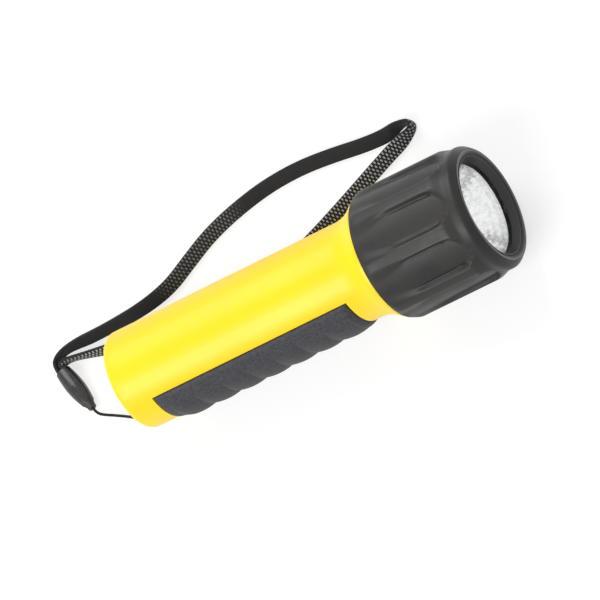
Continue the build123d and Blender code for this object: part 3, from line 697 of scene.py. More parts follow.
def spaced(outline, longest, closed=True):
    """Outline with its long runs divided."""
    dense = []
    pairs = list(zip(outline, outline[1:] + outline[:1] if closed else outline[1:]))
    for here, after in pairs:
        parts = max(1, math.ceil(np.linalg.norm(after - here) / longest))
        dense += [here + (after - here) * k / parts for k in range(parts)]
    if not closed:
        dense.append(outline[-1])
    return dense


def around(x, r, angles):
    """Points at a place along the torch, in the row frame in metres. r may change with the angle."""
    turn = np.radians(angles)
    r = np.broadcast_to(r, turn.shape)
    x = np.broadcast_to(x, turn.shape)
    own = np.stack([x, -r * np.sin(turn), r * np.cos(turn), np.full(turn.shape, 1.0 / MM)], axis=1) * MM
    return (own @ np.array(TORCH).T)[:, :3]


def grid_faces(rows, columns, close_rows=False, close_columns=True, start=0):
    """Quads between rows of points; the rows run along the torch and outward faces result."""
    faces = []
    for i in range(rows if close_rows else rows - 1):
        low, high = start + i * columns, start + (i + 1) % rows * columns
        for j in range(columns if close_columns else columns - 1):
            k = (j + 1) % columns
            faces.append((low + j, low + k, high + k, high + j))
    return faces


def revolved(name, rings, material=None, sharp_angle=None, caps=()):
    """Closed solid of revolution from rings of points; caps names the ends that close on a pole."""
    columns = len(rings[0])
    faces = grid_faces(len(rings), columns, close_rows=not caps)
    points = list(np.concatenate(rings))
    if "start" in caps:
        points.append(np.mean(rings[0], axis=0))
        pole = len(points) - 1
        faces += [(pole, (j + 1) % columns, j) for j in range(columns)]
    if "end" in caps:
        points.append(np.mean(rings[-1], axis=0))
        pole = len(points) - 1
        base = (len(rings) - 1) * columns
        faces += [(pole, base + j, base + (j + 1) % columns) for j in range(columns)]
    return mesh_object(name, points, faces, material, sharp_angle)


def route_line(name, points):
    """Points of the smooth line that a route's control points draw."""
    curve = bpy.data.curves.new(name, "CURVE")
    curve.dimensions = "3D"
    curve.resolution_u = 24
    spline = curve.splines.new("NURBS")
    spline.points.add(len(points) - 1)
    for point, place in zip(spline.points, points):
        point.co = (*[v * MM for v in place], 1.0)
    spline.order_u = 3
    spline.use_endpoint_u = True
    obj = link(bpy.data.objects.new(name, curve))
    bpy.context.view_layer.update()
    mesh = bpy.data.meshes.new_from_object(obj)
    line = np.array([v.co for v in mesh.vertices], float)
    bpy.data.objects.remove(obj)
    bpy.data.curves.remove(curve)
    bpy.data.meshes.remove(mesh)
    apart = np.linalg.norm(np.diff(line, axis=0), axis=1) > 1e-6
    return line[np.concatenate([[True], apart])]


def distances(line):
    """Distance of each point along its line."""
    return np.concatenate([[0], np.cumsum(np.linalg.norm(np.diff(line, axis=0), axis=1))])


def at_distances(line, stations):
    """Points of the line at distances along it."""
    run = distances(line)
    return np.stack([np.interp(stations, run, column) for column in line.T], axis=1)


def even(line, spacing):
    """The line resampled at even distances, with the distances."""
    total = distances(line)[-1]
    stations = np.linspace(0, total, max(2, round(total / spacing)) + 1)
    return at_distances(line, stations), stations


def tangents(line):
    step = np.gradient(line, axis=0)
    return step / np.linalg.norm(step, axis=1)[:, None]


def tube_faces(rings, columns, start=0):
    """Faces of a tube whose rings go anticlockwise seen from its far end, with flat end caps."""
    faces = grid_faces(rings, columns, start=start)
    faces.append(tuple(start + j for j in reversed(range(columns))))
    faces.append(tuple(start + (rings - 1) * columns + j for j in range(columns)))
    return faces


# ------------------------------------------------------------------ stage
CAMERA_RIGHT = Vector((0.84140885, -0.29340528, -0.45381108))
CAMERA_UP = Vector((0.39597998, 0.90620647, 0.14828921))
CAMERA_BACK = Vector((0.3677377, -0.30447195, 0.87867276))
FRAME_WIDTH = 0.2225
AIM_X = 161.8
AIM_SHIFT = (0.069150, 0.034560)
SENSOR_WIDTH = 36.0
CLIP_END = 30.0
# direction, distance and size in metres
SOFT_BOXES = {
    "key_box": ((-0.41, -0.52, 0.75), 1.1, (0.80, 0.60)),
    "fill_box": ((-0.20, 0.75, 0.75), 1.2, (0.9, 0.9)),
}
FLOOR_HALF = 3


class TORCH_OT_stage(bpy.types.Operator):
    """Camera, floor, world and soft boxes"""

    bl_idname = "torch.stage"
    bl_label = "Stage"

    def execute(self, context):
        studio = context.scene.torch_studio
        scene = context.scene
        scene.view_settings.view_transform = "Standard"
        aim = TORCH @ Vector((AIM_X * MM, 0, 0)) - CAMERA_RIGHT * AIM_SHIFT[0] - CAMERA_UP * AIM_SHIFT[1]
        data = bpy.data.cameras.new("camera")
        data.sensor_width = SENSOR_WIDTH
        data.lens = studio.camera_lens
        data.clip_end = CLIP_END
        camera = link(bpy.data.objects.new("camera", data))
        distance = FRAME_WIDTH * data.lens / data.sensor_width
        placement = Matrix((CAMERA_RIGHT, CAMERA_UP, CAMERA_BACK)).transposed().to_4x4()
        placement.translation = aim + CAMERA_BACK * distance
        camera.matrix_world = placement
        scene.camera = camera

        powers = {"key_box": studio.key_power, "fill_box": studio.fill_power}
        for name, (direction, away, size) in SOFT_BOXES.items():
            self.soft_box(name, aim, Vector(direction), away, size, powers[name])
        self.world(studio.world_light)
        corners = [(x * FLOOR_HALF, y * FLOOR_HALF, 0) for x, y in ((-1, -1), (1, -1), (1, 1), (-1, 1))]
        floor = mesh_object("floor", corners, [(0, 1, 2, 3)], self.floor_material())
        return {"FINISHED"}

    def soft_box(self, name, aim, direction, distance, size, power):
        data = bpy.data.lights.new(name, "AREA")
        data.shape = "RECTANGLE"
        data.size, data.size_y = size
        data.energy = power
        lamp = link(bpy.data.objects.new(name, data))
        away = direction.normalized()
        along = (Vector((1, 0, 0)) - away * away.x).normalized()
        placement = Matrix((along, away.cross(along), away)).transposed().to_4x4()
        placement.translation = aim + away * distance
        lamp.matrix_world = placement

    def seen_directly(self, graph):
        """1 where the eye, a reflection or a view through glass meets the backdrop."""
        path = graph.add("ShaderNodeLightPath").outputs
        mirrored = graph.math("MAXIMUM", path["Is Glossy Ray"], path["Is Transmission Ray"])
        return graph.math("MAXIMUM", path["Is Camera Ray"], mirrored)

    def world(self, strength):
        world = bpy.data.worlds.new("studio")
        graph, output = fresh_graph(world, "ShaderNodeOutputWorld")
        light = graph.add("ShaderNodeBackground", {0: (1, 1, 1, 1), 1: strength})
        backdrop = graph.add("ShaderNodeBackground", {0: (1, 1, 1, 1), 1: 1.0})
        mix_onto(graph, output, self.seen_directly(graph), light, backdrop)
        bpy.context.scene.world = world

    def floor_material(self):
        """White floor that keeps a soft shadow."""
        material = bpy.data.materials.new("white_floor")
        graph, output = fresh_graph(material, "ShaderNodeOutputMaterial")
        plain = graph.add("ShaderNodeBsdfDiffuse", {0: (0.85, 0.85, 0.85, 1)})
        shadowed = graph.add("ShaderNodeBsdfDiffuse", {0: (0.34, 0.34, 0.34, 1)})
        white = graph.add("ShaderNodeEmission", {0: (1, 1, 1, 1), 1: 0.72})
        lit = graph.add("ShaderNodeAddShader", {0: shadowed.outputs[0], 1: white.outputs[0]})
        mix_onto(graph, output, self.seen_directly(graph), plain, lit)
        return material


# ------------------------------------------------------------------ lanyard
def sleeve_heading():
    angle = math.radians(SLEEVE_HEADING)
    return Vector((math.cos(angle), math.sin(angle), 0))


def strap_section(columns, width, thickness):
    """Rounded flat section as (out of the left face, up) pairs, evenly spaced round its edge."""
    turn = np.linspace(0, math.tau, SECTION_SAMPLES)
    c, s = np.cos(turn), np.sin(turn)
    power = 2 / SECTION_POWER
    raw = np.stack(
        [np.sign(c) * np.abs(c) ** power * thickness / 2, np.sign(s) * np.abs(s) ** power * width / 2],
        axis=1,
    )
    return at_distances(raw, np.linspace(0, distances(raw)[-1], columns, endpoint=False))


class TORCH_OT_wrist_strap(bpy.types.Operator):
    """Flat plaited strap that leaves the sleeve, folds over and comes back"""

    bl_idname = "torch.wrist_strap"
    bl_label = "Wrist Strap"

    def execute(self, context):
        s, c = sizes(), colours()
        line = route_line("strap_route", [(x, y, STRAP_Z) for x, y in STRAP_ROUTE])
        centres, stations = even(line, STRAP_STEP)
        total = stations[-1]
        fold = stations[np.argmin(np.linalg.norm(centres[:, :2] - np.array(STRAP_FOLD) * MM, axis=1))]
        lean = self.lean(stations, fold, total, s.strap_lean)
        left = np.cross(UP, tangents(centres))
        level, tipped = np.cos(lean)[:, None], np.sin(lean)[:, None]
        centres[:, 2] = self.heights(stations, total, lean)
        points, uvs, sides = self.skin(
            centres, left * level - UP * tipped, UP * level + left * tipped, stations,
            self.painted_glint_on_dark_face(centres[:, 0], stations < fold),
        )
        faces = tube_faces(len(stations), STRAP_COLUMNS)
        strap = mesh_object(
            "wrist_strap_braid", points, [tuple(reversed(f)) for f in faces],
            braid_material("strap_braid_black", c.strap, c.strap_light, threshold=0.62), sharp_angle=60,
        )
        give_plait_map(strap, uvs, sides)
        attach(strap, "barrel")
        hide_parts("wrist_strap")
        return {"FINISHED"}

    def heights(self, stations, total, lean):
        """Height of the strap's middle: its lower edge on the surface, its ends level in the sleeve."""
        s = sizes()
        half = s.strap_width / 2 * np.cos(lean) + s.strap_thickness / 2 * np.abs(np.sin(lean))
        held = 1 - smoothstep(stations, *STRAP_HELD) * smoothstep(total - stations, *STRAP_HELD)
        return (1 - held) * (half + STRAP_LIFT) + held * STRAP_Z * MM

    def painted_glint_on_dark_face(self, x, going_out):
        """Painted glint: how much of the light threads' dots the dark face shows at each place, only on the
        leg going out.
        """
        come, go = PAINTED_GLINT_SPAN
        shown = smoothstep(x, *come) * (1 - smoothstep(x, *go))
        return PAINTED_GLINT_SHARE * going_out * shown

    def skin(self, middles, outward, upward, stations, painted_glint):
        """Points of the plaited surface, their places on the plait, and the mask of the light face with the
        painted glint on the dark face.
        """
        s = sizes()
        thickness = s.strap_thickness
        u = stations / s.braid_pitch
        beat = np.cos(math.tau * u)
        narrow = s.braid_relief * 0.5 * (np.cos(math.tau * u * 2) - 1) / s.strap_width
        points, uvs, sides = [], [], []
        for out, up in strap_section(STRAP_COLUMNS, s.strap_width, thickness):
            v = up / s.strap_width * 2 + 0.25
            face = smoothstep(abs(out), thickness * STRAP_FACE[0], thickness * STRAP_FACE[1])
            rise = s.braid_relief * (0.5 + 0.5 * beat * math.cos(math.tau * v) - PLAIT_LEVEL) * face
            across = out + math.copysign(1, out) * rise
            above = up * (1 + narrow * (1 - face))
            points.append(middles + outward * across[:, None] + upward * above[:, None])
            uvs.append(np.stack([u, np.full(u.shape, v)], axis=1))
            light, dark = (float(smoothstep(d, 0.0, thickness * LIGHT_FACE)) for d in (out, -out))
            # light face, plus the painted glint on the dark face
            sides.append(light + dark * painted_glint)
        return (
            np.stack(points, axis=1).reshape(-1, 3), np.stack(uvs, axis=1).reshape(-1, 2),
            np.stack(sides, axis=1).reshape(-1),
        )

    def lean(self, stations, fold, total, most):
        """Tip of the strap towards the side away from the torch: left going out, right coming back."""
        before, after = LEAN_FOLD
        out = self.ramps(stations, LEAN_OUT)
        out = out * (1 - smoothstep(stations, fold + before[0], fold + before[1]))
        back = self.ramps(total - stations, LEAN_BACK)
        back = back * smoothstep(stations, fold + after[0], fold + after[1])
        return most * (out - back)

    def ramps(self, run, table):
        """Sum of smooth ramps along a run."""
        return sum(share * smoothstep(run, low, high) for share, low, high in table)


def give_plait_map(obj, uvs, sides):
    """UV map of the plait and the mask of its light face with the painted glint on the dark face."""
    mesh = obj.data
    layer = mesh.uv_layers.new(name="plait")
    corner_points = np.zeros(len(mesh.loops), np.int32)
    mesh.loops.foreach_get("vertex_index", corner_points)
    layer.data.foreach_set("uv", uvs[corner_points].reshape(-1).astype(np.float32))
    mask = mesh.attributes.new("light_face_and_painted_glint", "FLOAT", "POINT")
    mask.data.foreach_set("value", sides.astype(np.float32))


class TORCH_OT_thin_cord(bpy.types.Operator):
    """Three-strand cord from the lug's eye to the sleeve"""

    bl_idname = "torch.thin_cord"
    bl_label = "Thin Cord"

    def execute(self, context):
        s, c = sizes(), colours()
        line = route_line("cord_route", CORD_ROUTE)
        centres, stations = even(line, CORD_STEP)
        points, faces, uvs = self.strands(centres, stations)
        cord = mesh_object(
            "thin_cord_twist", points, faces,
            braid_material("cord_braid_black", c.strap, c.strap_light, threshold=0.9), sharp_angle=60,
        )
        give_plait_map(cord, np.array(uvs), np.zeros(len(points)))
        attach(cord, "barrel")
        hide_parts("lanyard_cord")

        knot = frame["nodes"]["lanyard_knot"]
        knot.data.materials.clear()
        knot.data.materials.append(
            moulded_material(
                "knotted_cord", c.strap, toned(c.strap, 3), 0.75, patch=900.0, grain=4200.0,
                relief=0.0001, specular=0.25,
            )
        )
        sleeve, collar = self.sleeve(), self.collar()
        return {"FINISHED"}

    def sides(self, ahead):
        """Directions across the cord that turn as little as they can along it."""
        side = [np.cross(ahead[0], UP)]
        for direction in ahead[1:]:
            across = side[-1] - direction * (side[-1] @ direction)
            side.append(across / np.linalg.norm(across))
        side = np.array(side)
        return side / np.linalg.norm(side, axis=1)[:, None]

    def strands(self, centres, stations):
        """Points, faces and plait coordinates of the strands that wind round each other."""
        s = sizes()
        ahead = tangents(centres)
        side = self.sides(ahead)
        over = np.cross(ahead, side)
        strand_r = s.cord_diameter * CORD_STRAND_SHARE
        offset = s.cord_diameter / 2 - strand_r
        columns = CORD_COLUMNS
        points, faces, uvs = [], [], []
        for strand in range(CORD_STRANDS):
            twist = math.tau * stations / s.cord_lay + math.tau * strand / CORD_STRANDS
            middle = centres + offset * (side * np.cos(twist)[:, None] + over * np.sin(twist)[:, None])
            faces += tube_faces(len(stations), columns, len(points))
            for k in range(len(stations)):
                for j in range(columns):
                    a = math.tau * j / columns + twist[k]
                    points.append(middle[k] + strand_r * (side[k] * math.cos(a) + over[k] * math.sin(a)))
                    uvs.append((stations[k] / CORD_FIBRE, j / columns * 2))
        return points, faces, uvs

    def turned_piece(self, name, corners, material):
        """Piece turned about the sleeve's axis, from (distance from the tip, radius, corner radius)."""
        outline = spaced(rounded(corners, closed=False), 0.6, closed=False)
        ahead, up = sleeve_heading(), Vector(UP)
        side = up.cross(ahead)
        tip = Vector(SLEEVE_TIP) * MM
        rings = []
        for x, r in outline:
            ring = []
            for j in range(TURNED_COLUMNS):
                a = math.tau * j / TURNED_COLUMNS
                across = side * (r * math.cos(a)) + up * (r * math.sin(a))
                ring.append(tip + (ahead * x + across) * MM)
            rings.append(np.array([tuple(p) for p in reversed(ring)]))
        return revolved(name, rings, material, sharp_angle=40, caps=("start", "end"))

    def sleeve(self):
        """Bulged sleeve with a rolled mouth."""
        end = COLLAR_LENGTH + SLEEVE_LENGTH
        middle = COLLAR_LENGTH + SLEEVE_LENGTH * 0.52
        collar_r, bulge_r, mouth_r = SLEEVE_R
        corners = [(COLLAR_LENGTH, 0.4, 0), (COLLAR_LENGTH, collar_r, 0.35)]
        for t in np.linspace(0.12, 0.88, 9):
            x = COLLAR_LENGTH + SLEEVE_LENGTH * t
            if x < middle:
                low, share = collar_r, (x - COLLAR_LENGTH) / (middle - COLLAR_LENGTH)
            else:
                low, share = mouth_r, (end - x) / (end - middle)
            corners.append((x, low + (bulge_r - low) * math.sin(share * math.pi / 2), 6.0))
        corners += [(end - 0.7, mouth_r + 0.03, 0.3), (end, mouth_r, 0.35), (end, 0.4, 0)]
        c = colours()
        material = moulded_material(
            "glossy_sleeve", c.sleeve, toned(c.sleeve, 1.6), 0.2, patch=300.0, grain=3000.0,
            relief=0.000008, marks=0.35, marks_colour=(0.09, 0.09, 0.10),
        )
        piece = self.turned_piece("cord_sleeve", corners, material)
        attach(piece, "barrel")
        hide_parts("lanyard_sleeve")
        return piece

    def collar(self):
        """Cone that closes the sleeve on the thin cord, with two shallow rings."""
        corners = [
            (0, 0.2, 0), (0, 1.5, 0.2), (1.0, 1.78, 0.1), (1.15, 1.62, 0.1), (1.4, 1.7, 0.1),
            (2.0, 2.05, 0.1), (2.15, 1.9, 0.1), (2.4, 2.1, 0.1), (COLLAR_LENGTH, 2.3, 0),
            (COLLAR_LENGTH, 0.2, 0),
        ]
        c = colours()
        material = moulded_material(
            "matt_collar", toned(c.plastic, 0.6), c.plastic, 0.5, patch=500.0, grain=3000.0,
            relief=0.00001,
        )
        piece = self.turned_piece("cord_collar", corners, material)
        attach(piece, "barrel")
        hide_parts("lanyard_collar")
        return piece


# ------------------------------------------------------------------ barrel and pad
def barrel_outline():
    """Outer and inner outline of the barrel from the tail's middle to its inner floor."""
    rise = FLANGE_R - BARREL_R
    run = FLARE[1] - FLARE[0]
    bend = (run ** 2 + rise ** 2) / (2 * rise)
    corners = [(0, 0.05, 0), (0, BARREL_R - TAIL_ROUND, 0)]
    for k in range(1, 13):
        t = math.radians(90 * k / 12)
        corners.append((TAIL_ROUND * (1 - math.cos(t)), BARREL_R - TAIL_ROUND * (1 - math.sin(t)), 0))
    half = math.asin(run / bend)
    for k in range(13):
        t = half * k / 12
        corners.append((FLARE[0] + bend * math.sin(t), BARREL_R + bend * (1 - math.cos(t)), 0))
    corners[-1] = (FLARE[1], FLANGE_R, 0.5)
    corners += [(FLANGE_FRONT, FLANGE_R, 0.4), (FLANGE_FRONT, NECK_R, 0.3)]
    width, depth_r = O_RING_GROOVE
    for middle in O_RINGS:
        corners += [
            (middle - width / 2, NECK_R, 0.1), (middle - width / 2, depth_r, 0.2),
            (middle + width / 2, depth_r, 0.2), (middle + width / 2, NECK_R, 0.1),
        ]
    corners += [
        (NECK_FRONT - 0.8, NECK_R, 0.3), (NECK_FRONT, NECK_R - 0.8, 0.2), (NECK_FRONT, NECK_BORE_R, 0.3),
        (LAMP_SEAT, NECK_BORE_R, 0), (LAMP_SEAT, BORE_R, 0.2), (TAIL_WALL, BORE_R, 0.8), (TAIL_WALL, 0.05, 0),
    ]
    return rounded(corners, closed=False)


class TORCH_OT_barrel(bpy.types.Operator):
    """Yellow barrel with the pad's pocket, the flare, the neck and the lanyard lug"""

    bl_idname = "torch.barrel"
    bl_label = "Barrel"

    def execute(self, context):
        outline = spaced(barrel_outline(), 4.0, closed=False)
        low_x, high_x = PAD_ENDS[0] - PAD_GROOVE, PAD_ENDS[1] + PAD_GROOVE
        edges = [low_x - POCKET_WALL, low_x, high_x, high_x + POCKET_WALL]
        outline = self.with_stations(outline, edges)
        half = PAD_HALF_ANGLE + math.degrees(PAD_GROOVE / BARREL_R)
        step = math.degrees(POCKET_WALL / BARREL_R)
        sides = [PAD_ANGLE - half - step, PAD_ANGLE - half, PAD_ANGLE + half, PAD_ANGLE + half + step]
        regular = [a for a in np.arange(0, 360, BARREL_STEP) if min(abs(a - e) for e in sides) > 0.7]
        angles = np.array(sorted(regular + sides))
        inside_angle = (angles > sides[0] + step / 2) & (angles < sides[3] - step / 2)
        rings = []
        for x, r in outline:
            in_pocket = edges[0] + POCKET_WALL / 2 < x < edges[-1] - POCKET_WALL / 2
            in_pocket = in_pocket and r > BARREL_R - 0.01
            rings.append(around(x, np.where(inside_angle & in_pocket, PAD_POCKET_R, r), angles))
        material = yellow_material()
        barrel = revolved("barrel_moulding", rings, material, sharp_angle=35, caps=("start", "end"))
        lug = self.lug(material)
        for piece in (barrel, lug):
            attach(piece, "barrel")
        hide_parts("barrel_shell")
        return {"FINISHED"}

    def with_stations(self, outline, places):
        """Outline with points added on the barrel's straight wall."""
        straight = [p for p in outline if abs(p[1] - BARREL_R) < 1e-6]
        first, last = straight[0][0], straight[-1][0]
        apart = [p for p in straight if min(abs(p[0] - x) for x in places) >= 0.2]
        rest = [p for p in outline if abs(p[1] - BARREL_R) >= 1e-6]
        at = next(i for i, p in enumerate(outline) if abs(p[1] - BARREL_R) < 1e-6)
        wall = apart + [np.array((x, BARREL_R)) for x in places if first < x < last]
        return rest[:at] + sorted(wall, key=lambda p: p[0]) + rest[at:]

    def lug(self, material):
        """Flat tab with a rounded end and an eye, on the tail face."""
        count = LUG_COLUMNS
        outer, inner = [], []
        for k in range(count):
            a = math.tau * (k + 0.5) / count
            c, s = math.cos(a), math.sin(a)
            reach = LUG_HALF_WIDTH
            if c > 0:
                reach = min((LUG_ROOT - EYE_X) / c, LUG_HALF_WIDTH / abs(s))
            outer.append((EYE_X + reach * c, reach * s))
            inner.append((EYE_X + EYE_R * c, EYE_R * s))
        layers = []
        for level, *growth in LUG_LAYERS:
            for line, size, grow in zip((outer, inner), (LUG_HALF_WIDTH, EYE_R), growth):
                layers.append([(x + (x - EYE_X) * grow / size, y + y * grow / size, level) for x, y in line])
        turn = Matrix.Rotation(math.radians(LUG_ANGLE), 4, "X")
        points = [
            TORCH @ (turn @ (Vector((x, y, LUG_R + z)) * MM)) for layer in layers for x, y, z in layer
        ]
        order = [0, 2, 4, 6, 7, 5, 3, 1]        # the tab's edge upwards, then its eye back down
        faces = []
        for here, after in zip(order, order[1:] + order[:1]):
            for j in range(count):
                k = (j + 1) % count
                faces.append((here * count + j, here * count + k, after * count + k, after * count + j))
        return mesh_object("lanyard_lug", points, faces, material, sharp_angle=35)


class TORCH_OT_grip_pad(bpy.types.Operator):
    """Rubber pad with ramped ends and a row of finger scallops"""

    bl_idname = "torch.grip_pad"
    bl_label = "Grip Pad"

    def execute(self, context):
        s, c = sizes(), colours()
        low, high = PAD_ENDS
        first, last = low + PAD_MARGIN, high - PAD_MARGIN
        pitch = (last - first) / s.pad_scallops
        ends = [low + x for x in PAD_END_STATIONS]
        middle = [first + (i + t) * pitch for i in range(s.pad_scallops) for t in WAVE_STATIONS]
        stations = ends + middle + [low + high - x for x in reversed(ends)]
        edge = np.array(PAD_EDGE_STATIONS) - PAD_HALF_ANGLE
        offsets = np.concatenate([edge, np.arange(-48, 48.1, 2.0), -edge[::-1]])
        columns = len(offsets)
        points, base = [], []
        for x in stations:
            top = self.height(x, offsets, first, last, pitch, s.pad_crest / MM)
            points.append(around(x, top, PAD_ANGLE + offsets))
            base.append(around(x, PAD_POCKET_R + 0.05, PAD_ANGLE + offsets))
        rows = len(stations)
        faces = grid_faces(rows, columns, close_columns=False)
        under = rows * columns
        faces += [tuple(reversed(f)) for f in grid_faces(rows, columns, close_columns=False, start=under)]
        for i in range(rows - 1):
            a, b = i * columns, (i + 1) * columns
            faces.append((a, b, under + b, under + a))
            a, b = a + columns - 1, b + columns - 1
            faces.append((b, a, under + a, under + b))
        for j in range(columns - 1):
            faces.append((j + 1, j, under + j, under + j + 1))
            a = (rows - 1) * columns + j
            faces.append((a, a + 1, under + a + 1, under + a))
        material = rubber_material(
            "grip_rubber_grey", c.pad, c.pad_speck, roughness=0.60, patch=900.0, speck=c.pad_speck,
            speck_scale=2300.0, relief=0.00005, specular=0.28, amount=0.05,
        )
        pad = mesh_object(
            "grip_pad_rubber", np.concatenate(points + base), faces, material, sharp_angle=38,
        )
        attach(pad, "barrel")
        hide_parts("grip_pad")
        return {"FINISHED"}

    def height(self, x, offsets, first, last, pitch, crest):
        """Top of the pad: ramps at its ends, rounded long edges and the scallops' waves."""
        low, high = PAD_ENDS
        from_end = min(x - low, high - x)
        ramp = min(1.0, (x - low) / PAD_RAMPS[0], (high - x) / PAD_RAMPS[1])
        lip_height, lip_run = PAD_LIP
        lip = 1 - (1 - min(1.0, from_end / lip_run)) ** 2
        smooth = lip_height * lip - PAD_SUNK * (1 - lip)
        smooth += PAD_RISE * math.sin(ramp * math.pi / 2) ** PAD_RAMP_POWER
        inward = np.radians(PAD_HALF_ANGLE - np.abs(offsets)) * BARREL_R / PAD_EDGE_ROUND
        edge = np.sqrt(1 - (1 - np.clip(inward, 0, 1)) ** 2)
        share = PAD_EDGE_SHARE + (1 - PAD_EDGE_SHARE) * edge
        top = BARREL_R - PAD_SUNK + (smooth + PAD_SUNK) * share
        if first <= x <= last:
            place = ((x - first) / pitch) % 1.0
            wave = 1 - (2 * place - 1) ** 2
            window = 1 - smoothstep(np.abs(offsets), *SCALLOP_FADE)
            top = top + crest * (wave * (1 + SCALLOP_DIP) - SCALLOP_DIP) * window
        return top


class TORCH_OT_neck_thread(bpy.types.Operator):
    """Ridges of the neck's thread, made with Geometry Nodes"""

    bl_idname = "torch.neck_thread"
    bl_label = "Neck Thread"

    def execute(self, context):
        s = sizes()
        material = bpy.data.materials["moulded_yellow"]
        tree = self.tree(material)
        obj = link(bpy.data.objects.new("neck_thread_ridges", bpy.data.meshes.new("neck_thread_ridges")))
        modifier = obj.modifiers.new("ridges", "NODES")
        modifier.node_group = tree
        values = {
            "Ring Radius": NECK_R * MM + s.ridge_height - RIDGE_WIRE, "Wire Radius": RIDGE_WIRE,
            "First Ring": FIRST_RIDGE, "Pitch": s.ridge_pitch, "Count": s.ridge_count,
        }
        for item in tree.interface.items_tree:
            if item.item_type == "SOCKET" and item.in_out == "INPUT" and item.name in values:
                modifier[item.identifier] = values[item.name]
        bpy.context.view_layer.update()
        made = bpy.data.meshes.new_from_object(obj.evaluated_get(bpy.context.evaluated_depsgraph_get()))
        obj.modifiers.clear()
        made.name = "neck_thread_ridges_mesh"
        made.transform(TORCH)
        obj.data = made
        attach(obj, "barrel")
        return {"FINISHED"}

    def tree(self, material):
        """Tree that repeats one round ridge along the neck."""
        tree = bpy.data.node_groups.new("Neck Ridges", "GeometryNodeTree")
        tree.interface.new_socket("Geometry", in_out="OUTPUT", socket_type="NodeSocketGeometry")
        for name, kind, default in (
            ("Ring Radius", "NodeSocketFloat", 0.0213), ("Wire Radius", "NodeSocketFloat", RIDGE_WIRE),
            ("First Ring", "NodeSocketFloat", FIRST_RIDGE), ("Pitch", "NodeSocketFloat", 0.0015),
            ("Count", "NodeSocketInt", 5),
        ):
            socket = tree.interface.new_socket(name, in_out="INPUT", socket_type=kind)
            socket.default_value = default
        graph = Graph(tree)
        given = graph.add("NodeGroupInput").outputs
        circle = "GeometryNodeCurvePrimitiveCircle"
        ring = graph.out(circle, {"Resolution": 128, "Radius": given["Ring Radius"]})
        wire = graph.out(circle, {"Resolution": 10, "Radius": given["Wire Radius"]})
        ridge = graph.out("GeometryNodeCurveToMesh", {"Curve": ring, "Profile Curve": wire})
        upright = graph.out("GeometryNodeTransform", {"Geometry": ridge, "Rotation": (0, math.pi / 2, 0)})
        start = graph.out("ShaderNodeCombineXYZ", {0: given["First Ring"]})
        step = graph.out("ShaderNodeCombineXYZ", {0: given["Pitch"]})
        inputs = {"Count": given["Count"], "Start Location": start, "Offset": step}
        places = graph.out("GeometryNodeMeshLine", inputs)
        repeated = graph.out("GeometryNodeInstanceOnPoints", {"Points": places, "Instance": upright})
        real = graph.out("GeometryNodeRealizeInstances", {"Geometry": repeated})
        smooth = graph.out("GeometryNodeSetShadeSmooth", {"Geometry": real})
        finished = graph.out("GeometryNodeSetMaterial", {"Geometry": smooth, "Material": material})
        tree.links.new(finished, graph.add("NodeGroupOutput").inputs[0])
        return tree


# ------------------------------------------------------------------ head
def head_outline():
    """Closed outline of the head cover, outer wall first."""
    long, high = SHOULDER
    corners = []
    for t in np.radians(range(0, 91, 10)):
        corners.append((HEAD_REAR + long * (1 - math.cos(t)), LAND_R - high * (1 - math.sin(t)), 0))
    corners += [
        (153.9, LAND_R, 4.0), (158.2, 24.8, 4.0), (161.5, 24.95, 2.6), (HEAD_FRONT, 22.8, 0.5),
        (HEAD_FRONT, 22.0, 0.35), (163.4, 20.5, 0.3), (162.2, 20.5, 0), (162.2, 22.8, 0),
        (119.0, 22.8, 0), (119.0, 24.2, 0), (HEAD_REAR, 24.2, 0),
    ]
    return rounded(corners)


